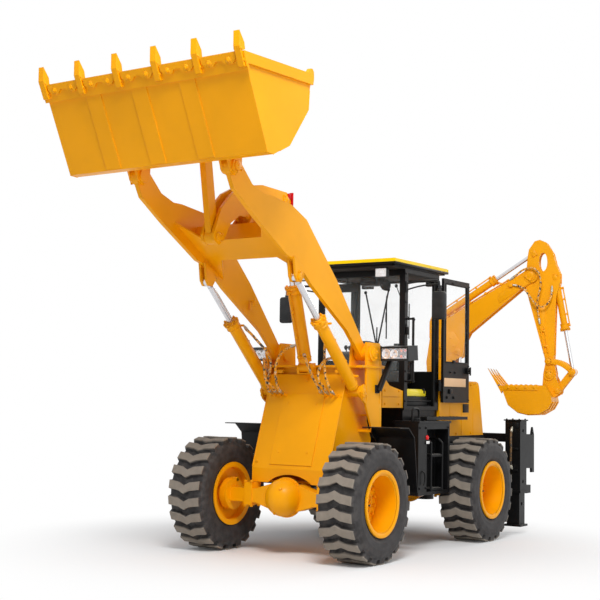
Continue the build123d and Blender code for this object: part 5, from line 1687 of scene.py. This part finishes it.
@dataclass
class StepFittings:
    """Hoop handles, filler caps, reflectors, hooks and treads on the two step boxes.

    Attributes:
        wall: The outer side of a box, from the machine's middle plane.
        cap: The filler cap's middle, with y on the left.
    """

    wall: float = 0.79
    cap: Point = (-1.20, 0.70, 1.254)

    def build(self) -> None:
        """Makes the pieces."""
        dark, bright, red, white = Form(), Form(), Form(), Form()
        for z in (0.587, 0.922):
            for number in range(7):
                x = -1.43 - number * 0.028
                bright.sides((x - 0.004, x + 0.004), (0.66, 0.775), (z, z + 0.004), 0.001)
        dark.sides((-1.235, -1.31), (self.wall - 0.010, self.wall + 0.008), (1.030, 1.064), 0.003)
        white.sides((-1.24, -1.305), (self.wall + 0.007, self.wall + 0.0135), (1.034, 1.060), 0.002)
        for hand in HANDS:
            self.filler(dark, hand)
            for x, across, z, shape in (
                    *[(x, y, 1.2545, (0.005, 0.010, 0.004, 0.013)) for x in (-1.35, -1.45, -1.55, -1.65)
                      for y in (0.60, 0.66, 0.72, 0.78)],
                    *[(x, y, 1.2942, (0.004, 0.009, 0.003, 0.012)) for x in (-2.0, -2.25)
                      for y in (0.56, 0.60, 0.64)]):
                dark.button((x, hand * across, z), (0, 0, 1), shape, 12)
            bolts = ((-1.12, 0.60), (-1.12, 1.19), (-1.25, 0.60), (-1.25, 1.19), (-1.74, 1.19))
            dark.bolts([(x, hand * (self.wall + 0.001), z) for x, z in bolts], (0, hand, 0), 0.009, 0.007)
            red.turned([(0.0, 0.016), (0.018, 0.014), (0.024, 0.006), (0.025, 0.0), (0.0, 0.0)],
                       (-1.272, hand * (self.wall - 0.002), 1.094), (0, hand, 0), 24)
            hook = ((-1.18, 0.79, 0.765), (-1.18, 0.815, 0.76), (-1.186, 0.818, 0.70), (-1.183, 0.812, 0.65),
                    (-1.165, 0.812, 0.635))
            dark.pipe([(x, hand * across, z) for x, across, z in hook], 0.007, 3)
        dark.finish("step_fittings", "chassis", Coat.BLACK)
        bright.finish("step_treads", "chassis", Coat.STEEL)
        white.finish("side_reflectors", "chassis", Coat.WHITE)
        red.finish("side_lamps", "chassis", Coat.RED)

    def filler(self, form: Form, hand: float) -> None:
        """Makes a ribbed filler cap and the hoop over it.

        Args:
            form: The form that takes them.
            hand: 1 for the left box, -1 for the right.
        """
        x, y, z = self.cap[0], hand * self.cap[1], self.cap[2]
        hoop = ((0.07, 0.0), (0.07, 0.056), (0.065, 0.118), (0.0, 0.128), (-0.065, 0.118), (-0.07, 0.056),
                (-0.07, 0.0))
        form.pipe([(x + ahead, y, z + rise) for ahead, rise in hoop], 0.012, 4)
        form.turned([(0.0, 0.034), (0.036, 0.034), (0.046, 0.028), (0.046, 0.006), (0.056, 0.0), (0.0, 0.0)],
                    (x, y, z), (0, 0, 1), 30)
        for number in range(10):
            turn = 2 * math.pi * number / 10
            form.block((x + 0.046 * math.cos(turn), y + 0.046 * math.sin(turn), z + 0.018),
                       (0.008, 0.008, 0.020), 0.001)


@dataclass
class SlideFittings:
    """Bolts, clamps and tail lamps of the slide frame and stabilisers."""

    leg_x: float = -3.31

    def build(self) -> None:
        """Makes the pieces."""
        dark, red, amber = Form(), Form(), Form()
        for x, y, z, soft in (((-3.222, -3.214), (0.80, 0.93), (1.17, 1.23), 0.002),
                              ((-3.222, -3.205), (0.835, 0.925), (0.928, 0.952), 0.003),
                              ((-3.222, -3.205), (0.835, 0.925), (0.688, 0.712), 0.003),
                              ((-3.524, -3.532), (0.60, 0.74), (1.03, 1.09), 0.003)):
            dark.sides(x, y, z, soft)
        red.sides((-3.531, -3.545), (0.61, 0.67), (1.035, 1.085), 0.005)
        amber.sides((-3.531, -3.545), (0.675, 0.73), (1.035, 1.085), 0.005)
        for hand in HANDS:
            dark.bolts([(x, hand * y, z) for x in (self.leg_x - 0.085, self.leg_x + 0.085)
                        for y in (0.785, 0.935) for z in (1.264, 0.475)], (0, 0, 1), 0.009)
            dark.bolts([(-3.46, y + hand * 0.016, z) for y in (-0.34, 0.34)
                        for z in (0.60, 0.75, 0.90, 1.05)], (0, hand, 0), 0.012, 0.010)
        for z in (0.53, 1.01):
            dark.bar((-3.44, z), (-0.77, 0.77), 0.006, 8, 0)
        dark.finish("slide_frame_bolts", "chassis", Coat.BLACK)
        red.finish("tail_lamps_red", "chassis", Coat.RED)
        amber.finish("tail_lamps_amber", "chassis", Coat.ORANGE)


@dataclass
class Hose:
    """A hydraulic hose with a crimped fitting at each end.

    Attributes:
        name: The hose's name.
        station: Where its route is drawn.
        route: The points that steer it, from its first fitting to its last.
        start: The body of its first end.
        end: The body of its last end.
        coat: Its finish.
        radius: Its outer radius.
        crimp: How long a fitting's crimped part is.
    """

    name: str
    station: Station
    route: Sequence[Point]
    start: str
    end: str
    coat: Coat = Coat.HOSE
    radius: float = 0.0125
    crimp: float = 0.042

    def build(self) -> None:
        matrix = self.station.matrix()
        route = [matrix @ Vector(point) for point in self.route]
        path = self.centreline(route)
        mesh = route_mesh(route, self.radius, 4)
        mesh.name = self.name
        mesh.shade_smooth()
        mesh.set_sharp_from_angle(angle=math.radians(50))
        mesh.materials.append(material_of(self.coat))
        made = shown(self.name, mesh)
        first = self.fitting(self.name + "_fitting_1", path[0], path[0] - path[1], self.start)
        last = self.fitting(self.name + "_fitting_2", path[-1], path[-1] - path[-2], self.end)
        if self.start == self.end:
            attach(made, self.start)
        else:
            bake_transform(made)
        length = sum((b - a).length for a, b in zip(path, path[1:]))
        2 * self.radius
        LOG.info("%s is %.3f m long", self.name, length)

    @staticmethod
    def centreline(route: Sequence[Vector]) -> list[Vector]:
        """The points of the route's smooth line.

        Args:
            route: The points that steer it.

        Returns:
            The line's points in order.
        """
        mesh = route_mesh(route)
        points = [vert.co.copy() for vert in mesh.vertices]
        bpy.data.meshes.remove(mesh)
        return points

    def fitting(self, name: str, place: Vector, outward: Vector, body: str) -> bpy.types.Object:
        """Makes a crimped ferrule and a swivel nut at one end.

        Args:
            name: The piece's name.
            place: The hose's end.
            outward: The way out of the hose there.
            body: The body that it rides on.

        Returns:
            The piece.
        """
        form, way, rim = Form(WORLD), outward.normalized(), self.radius
        ferrule = ((0.0003, 0.0), (0.0035, 0.002), (0.0035, 0.012), (0.0025, 0.014), (0.0035, 0.016),
                   (0.0035, 0.034), (0.0005, 0.037), (0.0005, self.crimp), (-rim, self.crimp))
        form.turned([(rim + proud, height) for proud, height in ferrule], place - way * self.crimp, way, 20)
        form.rod(place - way * 0.002, place + way * 0.018, 0.0135, 6)
        form.rod(place + way * 0.016, place + way * 0.030, 0.009, 14, 0.001)
        return form.finish(name, body, Coat.ZINC)


def unions(y: float) -> list[Point]:
    """The last points of a hose that ends on a union of the front cover, and the nut's place.

    Args:
        y: The union's place across the machine.

    Returns:
        Three points, the last at the nut.
    """
    cover = FrontFrameFittings()
    return [cover.on_cover(cover.union_row - drop, y, proud)
            for drop, proud in ((0.045, 0.19), (0.004, 0.125), (0.0, 0.082))]


def by_lift(hand: float, places: Iterable[Point]) -> list[Point]:
    """Points beside a lift cylinder, each a distance along it, across it and inwards from its axis."""
    return [beside(LIFT_BASE, LIFT_PIN, distance, across, hand * (ARM_Y - inward))
            for distance, across, inward in places]


def lift_hose(hand: float) -> list[Point]:
    """The route from a lift cylinder's gland down to the front cover.

    Args:
        hand: 1 for the left hose, -1 for the right.

    Returns:
        The points of the route.
    """
    start = by_lift(hand, ((0.782, 0.078, 0.054), (0.74, 0.082, 0.056), (0.68, 0.096, 0.066)))
    if hand > 0:
        middle = [(-0.005, 0.375, 1.95), (-0.050, 0.345, 1.80), (-0.060, 0.352, 1.66)]
    else:
        middle = [(0.00, -0.375, 1.99), (-0.065, -0.29, 1.88), (-0.085, -0.275, 1.75), (-0.070, -0.31, 1.63)]
    return start + middle + unions(0.37 if hand > 0 else -0.33)


def base_hose(hand: float) -> list[Point]:
    """The route from a lift cylinder's base port over to the front cover.

    Args:
        hand: 1 for the left hose, -1 for the right.

    Returns:
        The points of the route.
    """
    start = by_lift(hand, ((0.165, 0.090, 0.020), (0.215, 0.094, 0.028)))
    middle = [(x, hand * y, z) for x, y, z in ((-0.13, 0.395, 1.85), (-0.04, 0.335, 1.81),
                                               (-0.005, 0.300, 1.70), (-0.04, 0.302, 1.60))]
    return start + middle + unions(0.31 if hand > 0 else -0.27)


def tilt_hose(hand: float) -> list[Point]:
    """The route from the tilt cylinder's lower end out to the front cover.

    Args:
        hand: 1 for the left hose, -1 for the right.

    Returns:
        The points of the route.
    """
    x, z = along(TILT_BASE, ROCKER_HIGH, 0.15 if hand > 0 else 0.24, -0.070)
    return [(x + ahead, hand * y, z + rise) for ahead, y, rise in
            ((0.0, 0.048, 0.0), (0.03, 0.075, -0.012), (0.085, 0.125, -0.055), (0.10, 0.18, -0.15),
             (0.075, 0.215, -0.24))] + unions(0.25 if hand > 0 else -0.21)


@dataclass
class Hoses:
    """Every hydraulic hose that shows.

    Attributes:
        leg_route: The way to a stabiliser, with y on the left.
        stick_routes: The two ways round the stick's joint.
        boom_route: The way from the post to the boom.
        boom_gap: How far the second boom hose lies behind the first.
    """

    leg_route: tuple[Point, ...] = (
        (-3.196, 0.860, 1.16), (-3.165, 0.864, 1.12), (-3.135, 0.874, 1.04), (-3.130, 0.878, 0.94),
        (-3.14, 0.870, 0.84), (-3.165, 0.860, 0.76), (-3.196, 0.860, 0.73))
    stick_routes: tuple[tuple[Point, ...], ...] = (
        ((1.07, -0.086, 2.925), (1.12, -0.092, 2.962), (1.21, -0.112, 3.030), (1.33, -0.150, 3.055),
         (1.415, -0.160, 2.98), (1.43, -0.150, 2.86), (1.405, -0.135, 2.74), (1.378, -0.115, 2.64),
         (1.382, -0.096, 2.54), (1.395, -0.090, 2.46), (1.402, -0.090, 2.41)),
        ((1.10, -0.104, 2.845), (1.15, -0.108, 2.838), (1.23, -0.130, 2.80), (1.30, -0.150, 2.70),
         (1.37, -0.155, 2.60), (1.46, -0.145, 2.57), (1.53, -0.120, 2.65), (1.548, -0.100, 2.74),
         (1.548, -0.093, 2.80)))
    boom_route: tuple[Point, ...] = (
        (0.40, -0.134, 0.575), (0.415, -0.142, 0.64), (0.435, -0.165, 0.78), (0.415, -0.172, 0.94),
        (0.365, -0.160, 1.10), (0.300, -0.130, 1.24), (0.268, -0.112, 1.34), (0.260, -0.110, 1.41))
    boom_gap: float = 0.055

    def build(self) -> None:
        """Makes the hoses."""
        for hand, side in zip(HANDS, ("left", "right")):
            Hose("lift_hose_" + side, MACHINE, lift_hose(hand), "lift_barrels", "front_half").build()
            Hose("base_hose_" + side, MACHINE, base_hose(hand), "lift_barrels", "front_half").build()
            Hose("tilt_hose_" + side, MACHINE, tilt_hose(hand), "tilt_barrel", "front_half").build()
            Hose("leg_hose_" + side, MACHINE, [(x, hand * y, z) for x, y, z in self.leg_route], "chassis",
                 "chassis", Coat.BLACK_HOSE).build()
        for number, route in enumerate(self.stick_routes):
            Hose(f"stick_hose_{number + 1}", HOE, route, "boom", "stick", radius=0.0115).build()
        for number, push in enumerate((0.0, self.boom_gap)):
            route = [(x - push, y, z) for x, y, z in self.boom_route]
            Hose(f"boom_hose_{number + 1}", HOE, route, "post", "boom", radius=0.0105).build()


@dataclass
class ArmFittings:
    """The red guards over the rocker's rear pin, the grease nipples and the hose clip."""

    def build(self) -> None:
        """Makes the pieces."""
        guard, nipples, clip = Form(), Form(), Form()
        x, z = ROCKER_HIGH
        guard.sides((x - 0.082, x - 0.070), (0.050, 0.094), (z - 0.085, z + 0.080))
        guard.sides((x - 0.072, x - 0.010), (0.0725, 0.0835), (z + 0.015, z + 0.065))
        for hand in HANDS:
            guard.bolt((x - 0.083, hand * 0.078, z + 0.055), (-1, 0, 0), 0.008, 0.006)
            for pin in (ARM_PIVOT, BUCKET_PIN):
                nipples.turned([(0.0, 0.016), (0.003, 0.016), (0.004, 0.010), (0.006, 0.006), (0.006, 0.0)],
                               (pin[0] - 0.03, hand * ARM_Y, pin[1] + 0.05), (-0.4, 0, 0.9), 10)
        guard.finish("rocker_guards", "rocker", Coat.RED_PAINT)
        nipples.finish("grease_nipples", "arms", Coat.ZINC)
        for y, low in (((-0.452, -0.40), 2.38), ((-0.405, -0.395), 2.34), ((-0.452, -0.446), 2.30)):
            clip.box((0.02, 0.05), y, (low, 2.39), 0.002)
        clip.finish("arm_clip", "arms", Coat.YELLOW)


@dataclass
class HoeFittings:
    """Pipes with clamps, plates, seams and cutters of the backhoe."""

    boom_half: float = 0.085
    stick_half: float = 0.065
    bucket_half: float = 0.25

    def build(self) -> None:
        """Makes the pieces."""
        self.boom()
        self.stick()
        self.lever()
        self.bucket()

    def boom(self) -> None:
        """Makes the boom's pipes, clamps, weld seams and stiffening plates."""
        form, ports = Form(HOE), Form(HOE)
        low, high = (0.30, 2.466), (1.02, 2.890)
        length = math.hypot(high[0] - low[0], high[1] - low[1])
        for y in (-0.066, -0.046, 0.046, 0.066):
            form.rod(beside(low, high, 0.0, 0.017, y), beside(low, high, length, 0.017, y), 0.0075, 14)
            form.rod(beside(low, high, -0.03, 0.012, y), beside(low, high, 0.004, 0.018, y), 0.012, 6, 0.001)
            form.rod(beside(low, high, length - 0.004, 0.018, y), beside(low, high, length + 0.03, 0.012, y),
                     0.012, 6, 0.001)
        for hand in HANDS:
            for share in (0.12, 0.38, 0.64, 0.90):
                middle = beside(low, high, share * length, 0.018, hand * 0.056)
                form.block(middle + Vector((0, 0, 0.001)), (0.032, 0.048, 0.026), 0.004, (0, -30.5, 0))
                form.bolt(middle + Vector((-0.006, 0, 0.013)), (-0.51, 0, 0.86), 0.006, 0.006)
            y = hand * (self.boom_half + 0.0005)
            for outline in (
                    ((0.115, 1.19), (0.075, 1.45), (0.24, 1.52), (0.30, 1.40), (0.29, 1.19)),
                    ((0.075, 2.02), (0.115, 2.25), (0.36, 2.30), (0.44, 2.18), (0.38, 2.05), (0.22, 1.98)),
                    ((0.925, 2.745), (0.905, 2.69), (0.925, 2.635), (1.185, 2.803), (1.325, 2.897),
                     (1.360, 2.955), (1.300, 3.022), (1.240, 3.005))):
                form.plate(outline, y, 0.010)
            form.bolts([(x, y + hand * 0.005, z) for x, z in ((0.14, 1.25), (0.25, 1.25), (0.24, 1.45),
                                                              (0.13, 2.10), (0.33, 2.22), (0.37, 2.12))],
                       (0, hand, 0), 0.008, 0.006)
            form.turned([(0.0, 0.022), (0.046, 0.022), (0.056, 0.012), (0.056, 0.0), (0.0, 0.0)],
                        (0.215, y, 2.14), (0, hand, 0), 32)
            form.ring_of_bolts((0.215, y + hand * 0.022, 2.14), (0, hand, 0), 0.032, 6, 0.006, 0.005)
            form.seam((0.60, 2.323), (1.14, 2.768), hand * 0.074)
            form.seam((0.25, 2.423), (1.08, 2.912), hand * 0.074)
        form.finish("boom_fittings", "boom", Coat.YELLOW)
        ports.box((1.035, 1.085), (-0.122, -0.084), (2.825, 2.868), 0.004)
        ports.rod((1.07, -0.104, 2.846), (1.082, -0.104, 2.846), 0.012, 6, 0.001)
        ports.finish("boom_ports", "boom", Coat.YELLOW)

    def stick(self) -> None:
        """Makes the stick's pipes, clamps, seams and pin guards."""
        form = Form(HOE)
        low, high = (1.432, 2.36), (1.478, 2.02)
        for y, push in ((-0.074, -0.022), (-0.074, 0.022), (0.074, 0.0)):
            form.rod(beside(low, high, 0.0, push, y), beside(low, high, 0.30, push, y), 0.0075, 14)
            form.rod(beside(low, high, 0.296, push, y), beside(low, high, 0.32, push, y), 0.012, 6, 0.001)
        for hand in HANDS:
            for distance in (0.06, 0.24):
                middle = beside(low, high, distance, 0.0, hand * 0.072)
                form.block(middle, (0.068, 0.024, 0.024), 0.004)
                form.bolt(middle + Vector((0, hand * 0.012, 0)), (0, hand, 0), 0.006, 0.006)
            y = hand * (self.stick_half + 0.0005)
            form.turned([(0.088, 0.0), (0.088, 0.010), (0.080, 0.012), (0.064, 0.012), (0.064, 0.0)],
                        (STICK_PIN[0], y + hand * 0.02, STICK_PIN[1]), (0, hand, 0), 40)
            form.plate([(1.342, 2.585), (1.462, 2.585), (1.462, 2.33), (1.415, 2.30), (1.385, 2.33)], y,
                       0.012)
            form.seam((1.262, 2.80), (1.476, 2.02), hand * 0.056)
            form.seam((1.580, 2.70), (1.566, 2.02), hand * 0.056)
        form.finish("stick_fittings", "stick", Coat.YELLOW)

    @staticmethod
    def lever() -> None:
        """Makes the arched lever in place of the plain one."""
        form, steps = Form(HOE), 12
        length = math.hypot(CURL_EYE[0] - LEVER_PIN[0], CURL_EYE[1] - LEVER_PIN[1])
        upper, lower = ([along(LEVER_PIN, CURL_EYE, length * share, edge + rise * math.sin(math.pi * share))
                         for share in (n / steps for n in range(steps + 1))]
                        for edge, rise in ((0.036, 0.034), (-0.036, 0.040)))
        for hand in HANDS:
            y = hand * 0.077
            form.plate(upper + lower[::-1], y, 0.022)
            for pin in (LEVER_PIN, CURL_EYE):
                form.bar(pin, (y - 0.011, y + 0.011), 0.042, 36)
        form.bar(LEVER_PIN, (-0.088, 0.088), 0.022, 28)
        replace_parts(form.finish("curved_lever", "hoe_lever", Coat.YELLOW), "hoe_lever")

    def bucket(self) -> None:
        """Makes the bucket's wear strips, side cutters and worn tooth tips."""
        form, worn = Form(HOE), Form(HOE)
        outer = ((1.010, 1.570), (1.060, 1.430), (1.170, 1.345), (1.290, 1.319), (1.420, 1.325),
                 (1.530, 1.390), (1.575, 1.470))
        for first, last in zip(outer, outer[1:]):
            strip = [along(first, last, -0.004, -0.001), along(last, first, -0.004, 0.001),
                     along(last, first, -0.004, 0.011), along(first, last, -0.004, -0.011)]
            for y in (-0.16, 0.0, 0.16):
                form.plate(strip, y, 0.055)
        steps = 28
        edge = [(1.012, 1.600), *[(1.02 + 0.40 * n / steps, 1.656 + 0.013 * abs(math.sin(n * math.pi / 4)))
                                  for n in range(steps + 1)], (1.42, 1.600)]
        for hand in HANDS:
            form.plate(edge, hand * (self.bucket_half + 0.004), 0.012, 0.0015)
            form.bolts([(x, hand * (self.bucket_half + 0.010), 1.628) for x in (1.07, 1.17, 1.27, 1.37)],
                       (0, hand, 0), 0.011)
        for number in range(4):
            y = (number / 3 - 0.5) * 0.44
            for hand in HANDS:
                worn.button((0.955, y + hand * 0.024, 1.655), (0, hand, 0), (0.006, 0.010, 0.006, 0.013), 16)
            worn.slab([(0.900, y - 0.020, 1.746), (0.900, y + 0.020, 1.746), (0.826, y + 0.012, 1.848),
                       (0.826, y - 0.012, 1.848)], (0.006, 0, 0.004), 0.001)
        form.finish("hoe_bucket_fittings", "hoe_bucket", Coat.YELLOW)
        worn.finish("hoe_tooth_fittings", "hoe_bucket", Coat.STEEL)


@dataclass
class Studio:
    """Pale floor, soft lights and the photograph's camera.

    Attributes:
        eye: The camera's place.
        look: The way that it looks.
        roll: Its turn about that way, in degrees.
        lens: Its focal length in millimetres.
        floor_size: The floor's side.
        floor_near: Where the floor starts to turn white, from the origin.
        floor_far: Where it is quite white.
        lamps: Name, place, size and power of each lamp.
        aim: The point that the lamps face.
    """

    eye: Point = (10.344529, 6.161497, 1.455960)
    look: Point = (-0.83166162, -0.54919973, 0.08196713)
    roll: float = 1.032
    lens: float = 71.76
    floor_size: float = 60.0
    floor_near: float = 1.2
    floor_far: float = 3.9
    lamps: tuple[tuple[str, Point, float, float], ...] = (
        ("key", (6.8, 4.2, 9.0), 3.0, 760.0), ("fill", (4.0, 9.0, 4.0), 6.0, 150.0),
        ("back", (-8.0, 2.0, 6.0), 5.0, 180.0))
    aim: Point = (0.3, 0.0, 1.6)

    def build(self) -> None:
        """Makes the floor, lamps, world and camera."""
        self.floor()
        self.world()
        for lamp in self.lamps:
            self.lamp(*lamp)
        self.camera()

    def floor(self) -> None:
        """Makes a pale floor that shows white and keeps the machine's shadow."""
        sheet = bmesh.new()
        bmesh.ops.create_grid(sheet, x_segments=2, y_segments=2, size=self.floor_size / 2)
        mesh = bpy.data.meshes.new("floor")
        sheet.to_mesh(mesh)
        sheet.free()
        graph = Graph("floor_paper")
        graph.set(Base_Color=paint(0.97, 0.97, 0.97), Roughness=0.9, Specular_IOR_Level=0.1)
        away = graph.length(graph.coordinates).between(self.floor_near, self.floor_far)
        white = graph.node("ShaderNodeEmission", {}, {"Color": (1.0, 1.0, 1.0, 1.0), "Strength": 1.0})
        mix = graph.node("ShaderNodeMixShader", {}, {0: away * graph.seen(), 1: graph.shader.outputs[0],
                                                     2: white.outputs[0]})
        graph.feed(graph.output.inputs["Surface"], mix.outputs[0])
        mesh.materials.append(graph.material)
        shown("floor", mesh)

    @staticmethod
    def world() -> None:
        """Makes a world that is white to the camera and in reflections, and a soft light on the object."""
        world = bpy.data.worlds.new("studio")
        bpy.context.scene.world = world
        world.use_nodes = True
        tree = Tree(world.node_tree)
        light = tree.node("ShaderNodeBackground", {}, {0: (0.95, 0.97, 1.0, 1.0), 1: 0.40})
        white = tree.node("ShaderNodeBackground", {}, {0: (1.0, 1.0, 1.0, 1.0), 1: 1.0})
        mix = tree.node("ShaderNodeMixShader", {}, {0: tree.seen(), 1: light.outputs[0], 2: white.outputs[0]})
        tree.node("ShaderNodeOutputWorld", {}, {0: mix.outputs[0]})

    def lamp(self, name: str, place: Point, size: float, power: float) -> None:
        """Makes a square soft lamp that faces the machine.

        Args:
            name: The lamp's name.
            place: Where it stands.
            size: Its side.
            power: Its power in watts.
        """
        data = bpy.data.lights.new(name, "AREA")
        data.size = size
        data.energy = power
        made = shown(name, data)
        made.location = place
        made.rotation_euler = (Vector(self.aim) - Vector(place)).to_track_quat("-Z", "Y").to_euler()

    def camera(self) -> None:
        """Makes the camera that the photograph was solved for."""
        data = bpy.data.cameras.new("camera")
        data.lens = self.lens
        data.sensor_width = 36.0
        data.clip_end = 200.0
        made = shown("camera", data)
        forward = Vector(self.look).normalized()
        right = forward.cross(Vector((0, 0, 1))).normalized()
        up = right.cross(forward)
        angle = math.radians(self.roll)
        level = right * math.cos(angle) + up * math.sin(angle)
        upright = up * math.cos(angle) - right * math.sin(angle)
        made.matrix_world = (Matrix.Translation(self.eye)
                             @ Matrix((level, upright, -forward)).transposed().to_4x4())
        bpy.context.scene.camera = made


def main() -> None:
    """Builds every sub-assembly, then the studio."""
    logging.basicConfig(level=logging.INFO, format="%(message)s")
    for coat, nodes in NODE_COATS.items():
        for node in nodes.split():
            dress(node, coat)
    for assembly in (Wheels(), PinCaps(), *CYLINDERS, BucketFittings(), FrontFrameFittings(), Headlamps(),
                     CabFittings(), Mirrors(), DoorFittings(), HoodFittings(), StepFittings(),
                     SlideFittings(), Hoses(), ArmFittings(), HoeFittings(), Studio()):
        assembly.build()
        LOG.info("built %s", type(assembly).__name__)
    bpy.context.scene.view_settings.view_transform = "Standard"


if __name__ == "__main__":
    main()
